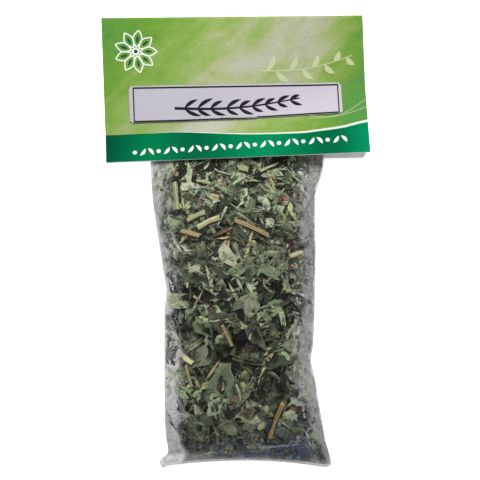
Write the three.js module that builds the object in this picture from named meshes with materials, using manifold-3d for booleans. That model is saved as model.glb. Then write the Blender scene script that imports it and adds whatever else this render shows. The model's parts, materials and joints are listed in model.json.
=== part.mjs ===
// A small retail packet of dried, cut tarragon. A clear film bag holds crumpled leaf pieces and bits of stem.
// Its flattened mouth sits between the leaves of a folded card header, and one wire staple closes the packet
// through the header's name strip. The packet lies on its back: X runs across it, +Y runs towards the header,
// and +Z is up and away from the surface that it lies on. Units are millimetres, and the origin is under the
// middle of the packet, on that surface.

import * as THREE from "three";
import { mergeVertices } from "three/addons/utils/BufferGeometryUtils.js";
import Module from "manifold-3d";

const wasm = await Module();
wasm.setup();

// Driving dimensions
const CLEARANCE = 0.3; // between pieces that touch
const FILM = 0.3; // wall of the bag
const SEAL_Y = -75.2; // middle of the bag's bottom seal
const MOUTH_Y = 72.5; // open end of the bag, inside the header
const CARD_WIDTH = 90;
const CARD_LEAF = 50; // fold to lower edge, for both leaves
const CARD = 0.4; // card thickness
const CARD_GAP = 1.5; // between the two leaves at the fold
const CARD_UNDERSIDE = 0.7; // back leaf above the surface, so that the staple's clinch is clear of it
const CARD_TURN = THREE.MathUtils.degToRad(0.6); // the header sits a little askew on the bag
const CARD_MIDDLE = new THREE.Vector2(-0.4, 52.3);
const CARD_CORNER = 1.4; // rounded corner of the back leaf
const CARD_LIFT = THREE.MathUtils.degToRad(25); // how steeply the full bag lifts the front leaf's free edge
const LIFT = { start: 30, slant: 11.5, reach: 11 }; // below the fold; it starts later at the left edge
const STRIP = { width: 73, height: 12.2, top: 23.2, right: 0.2, thickness: 0.3, skew: 0.012 };
const STAPLE = { crown: 12.4, wire: 0.5, clinch: 4.2, down: 34.6, across: 1.5, bend: 0.55 };
const HERB_TOP_Y = 32.5; // the herb stops here, under the header
const HERB_BOTTOM_Y = -73.6;
const HERB_SIDE_GAP = 1.3; // empty film beside the herb
const CORE_DEPTH = 2.4; // how far the leaf pieces stand out of the packed core
const CORE_SIDES = 20;
const CORE_RELIEF = 0.7; // how uneven the core is
const LEAF = { thickness: 0.65, shortest: 8, longest: 13.5 }; // a leaf piece
const BROWN_LEAF = { thickness: 0.7, width: 0.55, fold: 0.18 }; // its width is a share of its length
const LEAF_ROWS = { step: 7, upper: 7, lower: 4 }; // spacing up the bag, and how many across each face
const PRESS = 0.45; // how far inside the room for the herb its leaf pieces are pressed
const SIDE_LIMIT = 0.985; // how near to the creases they are pressed, as a share of half the width
const SUNK = 0.4; // stem bits lie this much lower than the herb's surface
const WELD = 0.01; // the herb's corners are moved to steps this size, which closes hairline gaps
const PLUG = 0.12; // half thickness of what fills a place where the herb's surface touches itself
const SEED = 23;

// The bag's outline and height at stations up its length: [y, value]
const LEFT = [
  [-75.2, -26.3], [-74.2, -24.2], [-72.4, -22.5], [-70, -23.3], [-64, -24.3], [-50, -24.4], [-33, -24.4],
  [-22, -24.4], [-16.6, -23.5], [-12, -24.4], [0, -26.3], [10, -28], [20, -29.1], [29, -29.3], [72.5, -29.8],
];
const RIGHT = [
  [-75.2, 32.4], [-72, 32.3], [-68, 31], [-61, 29.6], [-52, 28], [-45, 26.9], [-40.6, 25.3], [-36, 26.5],
  [-26, 26.9], [0, 27.4], [16, 27.2], [19.5, 28.2], [24, 30], [29, 30.4], [72.5, 30.2],
];
const TOP = [
  [-75.2, 1.0], [-73, 3.6], [-70, 7.4], [-65, 11.8], [-57, 15.6], [-46, 17.8], [-32, 18.6], [-14, 18],
  [2, 16.2], [14, 13.2], [22, 10], [28, 7], [33, 4.6], [38, 2.8], [43, 2.3], [72.5, 2.3],
];
const UNDER = [[-75.2, 0.4], [-72, 0.25], [-69, 0], [19, 0], [25.5, 1.4], [72.5, 1.4]];
const CREASE = [[-75.2, 0.7], [-70, 2.6], [-60, 6], [-40, 7.6], [-10, 7.2], [12, 5.4], [24, 3.6], [34, 2.3],
  [43, 1.85], [72.5, 1.85]];
const FULLNESS = [[-75.2, 1], [-66, 0.72], [-50, 0.52], [-5, 0.52], [16, 0.72], [30, 1], [72.5, 1]];
const STATIONS = [
  -75.2, -74, -72.4, -69.6, -66, -61, -55, -49, -44, -40.4, -36.5, -29, -22, -16.6, -11.5, -4, 4, 11, 16, 20,
  24, 28, 32, 37, 42, 57, 72.5,
];
const BAG_SIDES = 28;
const SEAL_BAND = 2.2; // height of the solid seal
const SEAL_DROP = { left: 1.4, right: 2.3, reach: 14 }; // the seal's corners hang lower than its middle
const LOWER_FULLNESS = 1.35; // the lower face is flatter across than the upper one
// Puckers across the upper face, near the header and near the seal
const PUCKERS = [
  { depth: 0.45, wave: 0.62, shift: 0.9, y: 24, reach: 9 },
  { depth: 0.4, wave: 0.55, shift: -0.4, y: -66, reach: 6 },
];

// The longer bits of stem on the upper face: [x, y, angle from X in degrees, length, radius, colour]
const STRAW = "#b9b081";
const OLIVE = "#8d9064";
const TAN = "#a08450";
const STEMS = [
  [-9.2, 6.6, 31, 8.3, 1.0, STRAW], [-13.4, 8.8, 28, 6.8, 0.9, STRAW], [-15.2, 2.7, -20, 6.6, 0.9, TAN],
  [-20.3, 15.6, 98, 9.4, 0.95, OLIVE], [5.6, 4.8, -25, 12.6, 0.75, TAN], [-10.8, 20.4, -14, 4.8, 0.6, STRAW],
  [11.6, 25.6, 25, 7.2, 0.55, STRAW], [2.6, 25.2, -8, 3.6, 1.05, STRAW], [20.4, -4.3, 24, 4.8, 0.85, STRAW],
  [-16.4, -39.8, -40, 5.0, 0.95, STRAW], [-15.8, -45.4, -76, 7.6, 0.6, TAN], [13.8, -60.6, 69, 13.2, 0.85, TAN],
  [22.9, -35.4, 84, 6.2, 0.85, OLIVE], [-2.8, -31.4, -62, 7.8, 0.6, TAN],
];

// Reddish-brown bits among the green: [x, y, angle in degrees, length, colour]
const BROWN = "#6d4130";
const BROWN_BITS = [
  [-4.8, 17.4, 15, 6.2, BROWN], [12.2, 22.4, 60, 4.6, "#8a5538"], [16.6, 14.6, 110, 5.2, BROWN],
  [-18.2, -19.8, 20, 5.2, "#a8524c"], [3.2, -36.6, 40, 7.4, "#4a3528"], [20.6, 0.6, 75, 6.0, BROWN],
  [20.0, -56.0, 0, 5.0, "#8d5a4e"], [-2.2, 2.6, 130, 3.8, "#96603a"],
];

// Helpers

// mulberry32: the same draws on every run
function randomFrom(seed) {
  let state = seed;
  return () => {
    state = (state + 0x6d2b79f5) | 0;
    let t = Math.imul(state ^ (state >>> 15), 1 | state);
    t = (t + Math.imul(t ^ (t >>> 7), 61 | t)) ^ t;
    return ((t ^ (t >>> 14)) >>> 0) / 4294967296;
  };
}

// The value of a [position, value] list at a position, on a smooth curve that doesn't overshoot
function along(list, at) {
  if (at <= list[0][0]) return list[0][1];
  for (let i = 1; i < list.length; i++) {
    const [x1, y1] = list[i];
    if (at > x1) continue;
    const [x0, y0] = list[i - 1];
    const slope = (y1 - y0) / (x1 - x0);
    const before = i > 1 ? (y0 - list[i - 2][1]) / (x0 - list[i - 2][0]) : slope;
    const after = i + 1 < list.length ? (list[i + 1][1] - y1) / (list[i + 1][0] - x1) : slope;
    const start = before * slope > 0 ? (2 * before * slope) / (before + slope) : 0;
    const end = after * slope > 0 ? (2 * after * slope) / (after + slope) : 0;
    const t = (at - x0) / (x1 - x0);
    const width = x1 - x0;
    return (
      y0 * (2 * t ** 3 - 3 * t ** 2 + 1) + start * width * (t ** 3 - 2 * t ** 2 + t)
      + y1 * (3 * t ** 2 - 2 * t ** 3) + end * width * (t ** 3 - t ** 2)
    );
  }
  return list.at(-1)[1];
}

function toSolid(geometry) {
  const bare = new THREE.BufferGeometry().setAttribute("position", geometry.getAttribute("position"));
  if (geometry.index) bare.setIndex(geometry.index);
  const merged = mergeVertices(bare, 1e-4);
  return new wasm.Manifold(new wasm.Mesh({
    numProp: 3,
    vertProperties: merged.getAttribute("position").array,
    triVerts: new Uint32Array(merged.index.array),
  }));
}

function toGeometry(solid) {
  const { vertProperties, triVerts, numProp } = solid.getMesh();
  const positions = new Float32Array((vertProperties.length / numProp) * 3);
  for (let i = 0; i * numProp < vertProperties.length; i++) {
    positions.set(vertProperties.subarray(i * numProp, i * numProp + 3), i * 3);
  }
  const geometry = new THREE.BufferGeometry();
  geometry.setAttribute("position", new THREE.BufferAttribute(positions, 3));
  geometry.setIndex(new THREE.BufferAttribute(new Uint32Array(triVerts), 1));
  geometry.computeVertexNormals();
  return geometry;
}

// A closed solid from rings of points, each ring counter-clockwise as seen from the last one's side
function loft(rings) {
  const count = rings[0].length;
  const points = rings.flat();
  const faces = [];
  for (let r = 0; r + 1 < rings.length; r++) {
    for (let i = 0; i < count; i++) {
      const a = r * count + i;
      const b = r * count + ((i + 1) % count);
      faces.push(a, a + count, b, b, a + count, b + count);
    }
  }
  const last = (rings.length - 1) * count;
  // each end is flat, and its ring is level from side to side, so it closes in strips
  for (let i = 0; i < count / 2; i++) {
    const j = count - i;
    const k = (i + 1) % count;
    const l = count - i - 1;
    faces.push(i, k, l, last + k, last + i, last + l);
    if (i > 0) faces.push(i, l, j % count, last + i, last + (j % count), last + l);
  }
  const geometry = new THREE.BufferGeometry().setFromPoints(points);
  geometry.setIndex(faces);
  return geometry;
}

// A closed sheet of some thickness, whose lower face is place(i / across, j / down)
function sheet(place, across, down, thickness) {
  const grid = (offset) => {
    const points = [];
    for (let j = 0; j <= down; j++) {
      for (let i = 0; i <= across; i++) points.push(place(i / across, j / down, offset));
    }
    return points;
  };
  const points = [...grid(0), ...grid(thickness)];
  const row = across + 1;
  const layer = row * (down + 1);
  const faces = [];
  const quad = (a, b, c, d) => faces.push(a, c, b, a, d, c);
  for (let j = 0; j < down; j++) {
    for (let i = 0; i < across; i++) {
      const a = j * row + i;
      quad(a, a + row, a + row + 1, a + 1);
      quad(layer + a, layer + a + 1, layer + a + row + 1, layer + a + row);
    }
  }
  for (let i = 0; i < across; i++) {
    const end = down * row + i;
    quad(i, i + 1, layer + i + 1, layer + i);
    quad(end, layer + end, layer + end + 1, end + 1);
  }
  for (let j = 0; j < down; j++) {
    const a = j * row;
    const b = a + across;
    quad(a, layer + a, layer + a + row, a + row);
    quad(b, b + row, layer + b + row, layer + b);
  }
  const geometry = new THREE.BufferGeometry().setFromPoints(points);
  geometry.setIndex(faces);
  return geometry;
}

// A round bar of a few sides from one point to another
function bar(from, to, radius, sides, twist = 0) {
  const path = new THREE.LineCurve3(from, to);
  const section = new THREE.Shape();
  for (let i = 0; i < sides; i++) {
    const angle = twist + (2 * Math.PI * i) / sides;
    const x = radius * Math.cos(angle);
    const y = radius * Math.sin(angle);
    if (i === 0) section.moveTo(x, y);
    else section.lineTo(x, y);
  }
  section.closePath();
  return new THREE.ExtrudeGeometry(section, { steps: 1, extrudePath: path, bevelEnabled: false });
}

// Cutting can leave scraps: this keeps the main body
function mainBody(solid) {
  return solid.decompose().reduce((best, body) => (body.volume() > best.volume() ? body : best));
}

// The edges of a closed surface along which it touches itself
function pinchedEdges(geometry) {
  const positions = geometry.getAttribute("position");
  const corner = (i) => new THREE.Vector3().fromBufferAttribute(positions, i);
  const name = (p) => p.toArray().map((value) => Math.round(value / WELD)).join();
  const edges = new Map();
  for (let i = 0; i < geometry.index.count; i++) {
    const next = i % 3 === 2 ? i - 2 : i + 1;
    const ends = [corner(geometry.index.getX(i)), corner(geometry.index.getX(next))];
    const key = ends.map(name).sort().join(" ");
    const edge = edges.get(key) ?? { ends, faces: 0 };
    edge.faces += 1;
    edges.set(key, edge);
  }
  return [...edges.values()].filter((edge) => edge.faces !== 2).map((edge) => edge.ends);
}

// Closes hairline gaps between corners and fills the places where the surface only touches itself, then keeps
// the main body alone, without scraps and without the hollows sealed inside it
function settled(solid, tries = 3) {
  const geometry = toGeometry(solid);
  const positions = geometry.getAttribute("position").array;
  positions.forEach((value, i) => {
    positions[i] = Math.round(value / WELD) * WELD;
  });
  const body = mainBody(toSolid(geometry));
  const pinched = pinchedEdges(toGeometry(body));
  if (pinched.length === 0 || tries === 0) return body;
  const plugs = pinched.map(([from, to]) => {
    const reach = to.clone().sub(from).setLength(PLUG / 2);
    return toSolid(bar(from.clone().sub(reach), to.clone().add(reach), PLUG, 4));
  });
  return settled(plugs.reduce((all, plug) => all.add(plug), body), tries - 1);
}

// A path through some points, its corners rounded
function rounded(points, radius) {
  const path = new THREE.CurvePath();
  let from = points[0];
  for (let i = 1; i + 1 < points.length; i++) {
    const into = points[i].clone().sub(points[i - 1]).setLength(radius);
    const out = points[i + 1].clone().sub(points[i]).setLength(radius);
    const start = points[i].clone().sub(into);
    const end = points[i].clone().add(out);
    path.add(new THREE.LineCurve3(from, start));
    path.add(new THREE.QuadraticBezierCurve3(start, points[i], end));
    from = end;
  }
  path.add(new THREE.LineCurve3(from, points.at(-1)));
  return path;
}

// The bag

// The bag's section at station y: its two creases, and the heights of its upper and lower faces at side, which
// runs from -1 at the left crease to 1 at the right one. inset moves it all into the bag, and beside moves the
// creases further in.
function bagSection(y, side, inset = 0, beside = 0) {
  const left = along(LEFT, y) + inset + beside;
  const right = along(RIGHT, y) - inset - beside;
  const top = along(TOP, y) - inset;
  const under = along(UNDER, y) + inset;
  const crease = THREE.MathUtils.clamp(along(CREASE, y), under, top);
  const x = (left + right) / 2 + (side * (right - left)) / 2;
  const arch = Math.max(0, 1 - side * side) ** along(FULLNESS, y);
  return {
    left,
    right,
    x,
    upper: crease + (top - crease + Math.min(0, pucker(x, y))) * arch,
    lower: crease - (crease - under) * Math.min(1, LOWER_FULLNESS * arch),
  };
}

// How far the puckers raise or lower the upper face
function pucker(x, y) {
  let height = 0;
  for (const { depth, wave, shift, y: middle, reach } of PUCKERS) {
    height += depth * Math.sin(x * wave + shift) * Math.exp(-(((y - middle) / reach) ** 2));
  }
  return height;
}

// The seal is bowed: how far a point at side hangs lower than the middle of its station
function seamDrop(y, side) {
  const half = side < 0 ? SEAL_DROP.left : SEAL_DROP.right;
  const near = THREE.MathUtils.clamp(1 - (y - SEAL_Y) / SEAL_DROP.reach, 0, 1);
  return half * side * side * near * near;
}

// A point of the bag at station y: angle 0 is the right crease, and a quarter turn is the upper face
function bagPoint(y, angle, inset = 0, beside = 0) {
  const side = Math.cos(angle);
  const { x, upper, lower } = bagSection(y, side, inset, beside);
  return new THREE.Vector3(x, y - seamDrop(y, side), Math.sin(angle) >= 0 ? upper : lower);
}

function bagRings(stations, sides, inset, beside, relief = () => 0) {
  return stations.map((y) =>
    Array.from({ length: sides }, (_, i) => {
      const angle = (2 * Math.PI * i) / sides;
      return bagPoint(y, angle, inset + relief(y, angle), beside);
    }),
  );
}

function makeBag(legs) {
  const outside = toSolid(loft(bagRings(STATIONS, BAG_SIDES, 0, 0)));
  const hollow = [SEAL_Y + SEAL_BAND, ...STATIONS.filter((y) => y > SEAL_Y + 1.5 * SEAL_BAND)];
  const rings = bagRings(hollow, BAG_SIDES, FILM, 0);
  const beyond = rings.at(-1).map((p) => p.clone().setY(MOUTH_Y + 5));
  const inside = toSolid(loft([...rings, beyond]));
  return mainBody(outside.subtract(inside).subtract(legs));
}

// The header card

// How far the front leaf has risen, and how far it has run from the fold, at a distance down along it
function frontLeaf(across, down) {
  const start = LIFT.start - (LIFT.slant * across) / (CARD_WIDTH / 2);
  const slopeAt = (distance) => CARD_LIFT * THREE.MathUtils.smoothstep(distance - start, 0, LIFT.reach);
  const steps = 12;
  let rise = 0;
  let run = 0;
  for (let i = 0; i < steps; i++) {
    const slope = slopeAt(((i + 0.5) / steps) * down);
    rise += (Math.sin(slope) * down) / steps;
    run += (Math.cos(slope) * down) / steps;
  }
  return { rise, run, slope: slopeAt(down) };
}

// From the header's own axes (across it, and down from its fold) to the packet's
function onHeader(across, down, z) {
  const up = CARD_LEAF / 2 - down;
  return new THREE.Vector3(
    CARD_MIDDLE.x + across * Math.cos(CARD_TURN) - up * Math.sin(CARD_TURN),
    CARD_MIDDLE.y + across * Math.sin(CARD_TURN) + up * Math.cos(CARD_TURN),
    z,
  );
}

// A point above the front leaf's inner face
function onFrontLeaf(across, down, above) {
  const { rise, run, slope } = frontLeaf(across, down);
  const z = CARD_UNDERSIDE + CARD + CARD_GAP + rise + above * Math.cos(slope);
  return onHeader(across, run - above * Math.sin(slope), z);
}

// Across and down the unfolded card: from the back leaf's lower edge, round the fold, to the front leaf's
function makeCard(legs) {
  const fold = CARD_GAP / 2;
  const steps = { back: 2, fold: 6, front: 12 };
  const rows = [];
  for (let i = 0; i <= steps.back; i++) rows.push({ back: CARD_LEAF - ((CARD_LEAF - fold) * i) / steps.back });
  for (let i = 1; i < steps.fold; i++) rows.push({ angle: (Math.PI * i) / steps.fold });
  for (let i = 0; i <= steps.front; i++) rows.push({ front: fold + ((CARD_LEAF - fold) * i) / steps.front });
  const middle = CARD_UNDERSIDE + CARD + fold;
  const place = (u, v, thick) => {
    const across = (u - 0.5) * CARD_WIDTH;
    const row = rows[Math.round(v * (rows.length - 1))];
    if ("back" in row) return onHeader(across, row.back, CARD_UNDERSIDE + CARD - thick);
    if ("angle" in row) {
      const radius = fold + thick;
      const down = fold - radius * Math.sin(row.angle);
      return onHeader(across, down, middle - radius * Math.cos(row.angle));
    }
    return onFrontLeaf(across, row.front, thick);
  };
  const card = toSolid(sheet(place, 10, rows.length - 1, CARD));
  return mainBody(card.subtract(backCorners()).subtract(legs));
}

// What comes off the back leaf's two lower corners to round them
function backCorners() {
  const beyond = 2;
  const low = -CARD_LEAF + CARD_CORNER;
  const cuts = [-1, 1].map((side) => {
    const shape = new THREE.Shape();
    const x = (side * CARD_WIDTH) / 2;
    const inner = x - side * CARD_CORNER;
    shape.moveTo(x + side * beyond, -CARD_LEAF - beyond);
    shape.lineTo(x + side * beyond, low);
    shape.lineTo(x, low);
    shape.absarc(inner, low, CARD_CORNER, side > 0 ? 0 : Math.PI, -Math.PI / 2, side > 0);
    shape.lineTo(inner, -CARD_LEAF - beyond);
    shape.closePath();
    const depth = 2.5 * CARD;
    const block = new THREE.ExtrudeGeometry(shape, { depth, bevelEnabled: false, curveSegments: 4 });
    block.translate(0, CARD_LEAF / 2, CARD_UNDERSIDE - CARD);
    block.rotateZ(CARD_TURN);
    block.translate(CARD_MIDDLE.x, CARD_MIDDLE.y, 0);
    return toSolid(block);
  });
  return cuts[0].add(cuts[1]);
}

// The name strip, glued on the front leaf. Its lower edge slants a little, as cut by hand.
function makeStrip(legs) {
  const place = (u, v, thick) => {
    const across = STRIP.right + (u - 0.5) * STRIP.width;
    const slant = STRIP.skew * across;
    const down = STRIP.top + v * (STRIP.height - slant) - slant / 2;
    return onFrontLeaf(across, down, CARD + CLEARANCE + thick);
  };
  const strip = toSolid(sheet(place, 10, 3, STRIP.thickness));
  return mainBody(strip.subtract(legs));
}

// The staple

function stapleLine(above, below) {
  const half = STAPLE.crown / 2 - STAPLE.wire / 2;
  const at = (across, z) => onHeader(STAPLE.across + across, STAPLE.down, z);
  return [
    at(-half + STAPLE.clinch, below), at(-half, below), at(-half, above), at(half, above), at(half, below),
    at(half - STAPLE.clinch, below),
  ];
}

function stapleHeights() {
  const under = CARD_UNDERSIDE - CLEARANCE * 0.4 - STAPLE.wire / 2;
  const crown = Math.max(...[-1, 0, 1].map((side) => {
    const across = STAPLE.across + (side * STAPLE.crown) / 2;
    return onFrontLeaf(across, STAPLE.down, CARD + CLEARANCE + STRIP.thickness).z;
  }));
  return { above: crown + CLEARANCE + STAPLE.wire / 2, below: under };
}

function makeStaple() {
  const { above, below } = stapleHeights();
  const points = rounded(stapleLine(above, below), STAPLE.bend).getPoints(4);
  const beside = onHeader(0, 1, 0).sub(onHeader(0, 0, 0));
  const sides = 8;
  const rings = points.map((point, i) => {
    const before = points[Math.max(0, i - 1)];
    const after = points[Math.min(points.length - 1, i + 1)];
    const outward = after.clone().sub(before).cross(beside).normalize();
    return Array.from({ length: sides }, (_, k) => {
      const angle = (2 * Math.PI * k) / sides;
      return point.clone()
        .addScaledVector(outward, (Math.cos(angle) * STAPLE.wire) / 2)
        .addScaledVector(beside, (Math.sin(angle) * STAPLE.wire) / 2);
    });
  });
  return loft(rings);
}

// The holes that the staple's two legs go through
function makeLegs() {
  const { above } = stapleHeights();
  const line = stapleLine(above + 2, -1);
  const radius = STAPLE.wire / 2 + CLEARANCE;
  return toSolid(bar(line[1], line[2], radius, 8)).add(toSolid(bar(line[4], line[3], radius, 8)));
}

// The herb

const INSIDE = FILM + CLEARANCE; // how far inside the film's outer face the herb stays
const draw = randomFrom(SEED);
const between = (low, high) => low + (high - low) * draw();

// The packed herb under the loose outer leaf pieces
function herbCore() {
  const middle = STATIONS.filter((y, i) => i % 2 && y > HERB_BOTTOM_Y + 4 && y < HERB_TOP_Y - 5);
  const stations = [HERB_BOTTOM_Y + 2.5, ...middle, HERB_TOP_Y - 2];
  const waves = (y, angle) => Math.sin(y * 0.9 + 3 * Math.sin(angle * 5)) * Math.sin(angle * 9 + y * 0.35);
  const relief = (y, angle) => CORE_RELIEF * waves(y, angle);
  const beside = HERB_SIDE_GAP + CORE_DEPTH * 0.6;
  return toSolid(loft(bagRings(stations, CORE_SIDES, INSIDE + CORE_DEPTH, beside, relief)));
}

// The outward direction of the herb's surface at a station and angle
function outward(y, angle) {
  const p = bagPoint(y, angle, INSIDE, HERB_SIDE_GAP);
  const up = bagPoint(y + 1, angle, INSIDE, HERB_SIDE_GAP).sub(p);
  const round = bagPoint(y, angle + 0.04, INSIDE, HERB_SIDE_GAP).sub(p);
  return up.cross(round).normalize();
}

// Presses a point of a leaf piece back into the bag, where it would go through the film
function pressIn(point) {
  const y = THREE.MathUtils.clamp(point.y, HERB_BOTTOM_Y, HERB_TOP_Y);
  const { left, right } = bagSection(y, 0, INSIDE, HERB_SIDE_GAP);
  const middle = (left + right) / 2;
  const side = THREE.MathUtils.clamp((2 * (point.x - middle)) / (right - left), -SIDE_LIMIT, SIDE_LIMIT);
  const { x, upper, lower } = bagSection(y, side, INSIDE, HERB_SIDE_GAP);
  const thin = upper - lower < 2 * PRESS;
  const z = thin ? (upper + lower) / 2 : THREE.MathUtils.clamp(point.z, lower + PRESS, upper - PRESS);
  return point.set(x, y, z);
}

// One leaf piece, X along its midrib: a blade folded along the midrib, its corners moved at random by jag
function leafPiece(length, width, thickness, fold, jag = () => 0) {
  const outline = [[-0.5, 0], [-0.24, 0.44], [0.16, 0.5], [0.5, 0], [0.2, -0.46], [-0.2, -0.5]];
  const flat = outline.map(([x, y]) => [(x + jag() * 0.1) * length, (y + jag() * 0.12) * width]);
  const points = [0, -thickness].flatMap((drop) =>
    flat.map(([x, y]) => new THREE.Vector3(x, y, drop - fold * Math.abs(y))),
  );
  const count = flat.length;
  const faces = [];
  for (const [a, b, c] of [[0, 2, 1], [0, 3, 2], [0, 4, 3], [0, 5, 4]]) {
    faces.push(a, b, c);
    faces.push(a + count, c + count, b + count);
  }
  for (let i = 0; i < count; i++) {
    const j = (i + 1) % count;
    faces.push(i, j, j + count, i, j + count, i + count);
  }
  const geometry = new THREE.BufferGeometry().setFromPoints(points);
  geometry.setIndex(faces);
  return geometry;
}

// Turns a piece made about the origin to lie on the herb's surface, spun about its outward direction and tilted
function layOn(geometry, point, normal, spin, tilt = 0, tiltAxis = 0) {
  const turn = new THREE.Quaternion().setFromUnitVectors(new THREE.Vector3(0, 0, 1), normal);
  turn.multiply(new THREE.Quaternion().setFromAxisAngle(new THREE.Vector3(0, 0, 1), spin));
  const lean = new THREE.Vector3(Math.cos(tiltAxis), Math.sin(tiltAxis), 0);
  turn.multiply(new THREE.Quaternion().setFromAxisAngle(lean, tilt));
  return geometry.applyMatrix4(new THREE.Matrix4().compose(point, turn, new THREE.Vector3(1, 1, 1)));
}

function pressAll(geometry) {
  const positions = geometry.getAttribute("position");
  const point = new THREE.Vector3();
  for (let i = 0; i < positions.count; i++) {
    pressIn(point.fromBufferAttribute(positions, i));
    positions.setXYZ(i, point.x, point.y, point.z);
  }
  return geometry;
}

// One leaf piece near a station and angle, rooted in the core
function looseLeaf(y, angle) {
  const at = y + between(-1.8, 1.8);
  const turn = angle + between(-0.16, 0.16);
  const length = between(LEAF.shortest, LEAF.longest);
  const width = length * between(0.42, 0.7);
  const geometry = leafPiece(length, width, LEAF.thickness, between(0.1, 0.45), () => between(-1, 1));
  const point = bagPoint(at, turn, INSIDE + between(1.2, 2.0), HERB_SIDE_GAP + 1);
  const spin = between(0, 2 * Math.PI);
  layOn(geometry, point, outward(at, turn), spin, between(0.08, 0.4), between(0, 2 * Math.PI));
  return toSolid(pressAll(geometry));
}

// Staggered rows of leaf pieces up the bag, across its upper face and more thinly across its lower face
function looseLeaves() {
  const leaves = [];
  const { step, upper, lower } = LEAF_ROWS;
  let row = 0;
  for (let y = HERB_BOTTOM_Y + 4.5; y < HERB_TOP_Y - 1; y += step) {
    const shift = row % 2 ? 0.75 : 0.25;
    row += 1;
    for (let i = 0; i < upper; i++) leaves.push(looseLeaf(y, (Math.PI * (i + shift)) / upper));
    if (row % 2) continue;
    for (let i = 0; i < lower; i++) leaves.push(looseLeaf(y, (-Math.PI * (i + shift)) / lower));
  }
  return leaves;
}

// The height of the herb's upper surface over a point
function topAt(x, y) {
  const { left, right } = bagSection(y, 0, INSIDE, HERB_SIDE_GAP);
  return bagSection(y, (2 * x - left - right) / (right - left), INSIDE, HERB_SIDE_GAP).upper;
}

// One cut bit of stem, its axis just under the herb's upper surface. grow makes its pocket.
function stemBit([x, y, degrees, length, radius], grow = 0) {
  const angle = THREE.MathUtils.degToRad(degrees);
  const direction = new THREE.Vector2(Math.cos(angle), Math.sin(angle));
  const end = (reach) => {
    const px = x + direction.x * reach;
    const py = y + direction.y * reach;
    return new THREE.Vector3(px, py, topAt(px, py) - radius - SUNK);
  };
  return toSolid(bar(end(-length / 2 - grow), end(length / 2 + grow), radius + grow, 8, 0.3));
}

function brownBit([x, y, degrees, length], grow = 0) {
  const width = length * BROWN_LEAF.width;
  const thickness = BROWN_LEAF.thickness + 2 * grow;
  const geometry = leafPiece(length + 2 * grow, width + 2 * grow, thickness, BROWN_LEAF.fold);
  geometry.translate(0, 0, grow);
  const point = new THREE.Vector3(x, y, topAt(x, y) - 1.5 * SUNK);
  const reach = 2;
  const normal = new THREE.Vector3(
    topAt(x - reach, y) - topAt(x + reach, y),
    topAt(x, y - reach) - topAt(x, y + reach),
    2 * reach,
  );
  return toSolid(layOn(geometry, point, normal.normalize(), THREE.MathUtils.degToRad(degrees)));
}

function makeHerb(pockets) {
  let herb = looseLeaves().reduce((all, leaf) => all.add(leaf), herbCore());
  for (const pocket of pockets) herb = herb.subtract(pocket);
  return settled(herb);
}

// Assembly

const group = new THREE.Group();

function add(name, geometry, color, roughness, more = {}) {
  const material = new THREE.MeshStandardMaterial({ color, roughness, metalness: 0, ...more });
  const mesh = new THREE.Mesh(geometry, material);
  mesh.name = name;
  group.add(mesh);
}

const legs = makeLegs();
const taken = [];
const clearOf = (solid) => taken.reduce((rest, pocket) => rest.subtract(pocket), solid);

STEMS.forEach((stem, i) => {
  add(`stem_bit_${i + 1}`, toGeometry(mainBody(clearOf(stemBit(stem)))), stem[5], 0.8);
  taken.push(stemBit(stem, CLEARANCE));
});
BROWN_BITS.forEach((bit, i) => {
  add(`brown_bit_${i + 1}`, toGeometry(mainBody(clearOf(brownBit(bit)))), bit[4], 0.85);
  taken.push(brownBit(bit, CLEARANCE));
});
add("tarragon_leaves", toGeometry(makeHerb(taken)), "#5f6a50", 0.9, { side: THREE.DoubleSide });
add("bag_film", toGeometry(makeBag(legs)), "#e4e8ea", 0.15, { transparent: true, opacity: 0.25 });
add("header_card", toGeometry(makeCard(legs)), "#8fb25a", 0.5);
add("name_strip", toGeometry(makeStrip(legs)), "#d6d2dc", 0.7);
add("staple", makeStaple(), "#b9b9bd", 0.35, { metalness: 1 });

export default group;
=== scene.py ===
"""A small packet of dried, cut tarragon: a clear film bag, folded header card, name strip and staple."""
import json
import math

import bpy
import numpy as np
from mathutils import Matrix, Vector, noise
from mathutils.bvhtree import BVHTree


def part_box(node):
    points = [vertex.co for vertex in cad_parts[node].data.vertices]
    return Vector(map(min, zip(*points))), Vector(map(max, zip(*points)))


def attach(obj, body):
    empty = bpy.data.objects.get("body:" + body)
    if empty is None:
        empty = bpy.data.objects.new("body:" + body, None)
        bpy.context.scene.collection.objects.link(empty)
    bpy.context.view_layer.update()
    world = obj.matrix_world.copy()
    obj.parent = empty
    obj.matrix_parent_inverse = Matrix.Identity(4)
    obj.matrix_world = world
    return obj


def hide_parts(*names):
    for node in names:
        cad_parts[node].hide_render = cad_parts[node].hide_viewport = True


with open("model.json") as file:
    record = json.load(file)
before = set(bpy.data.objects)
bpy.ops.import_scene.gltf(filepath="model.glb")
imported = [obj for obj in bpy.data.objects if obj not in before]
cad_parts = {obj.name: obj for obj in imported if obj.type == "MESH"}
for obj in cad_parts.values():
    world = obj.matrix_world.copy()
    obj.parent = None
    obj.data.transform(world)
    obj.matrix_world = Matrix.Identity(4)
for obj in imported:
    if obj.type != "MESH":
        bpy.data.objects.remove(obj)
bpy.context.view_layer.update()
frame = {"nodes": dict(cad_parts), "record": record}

MM = 0.001
FULL_TURN = 2 * np.pi
rng = np.random.default_rng(7)

SHOWN = 0.66  # the light is this strong, so that the pale floor is well past white

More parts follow.
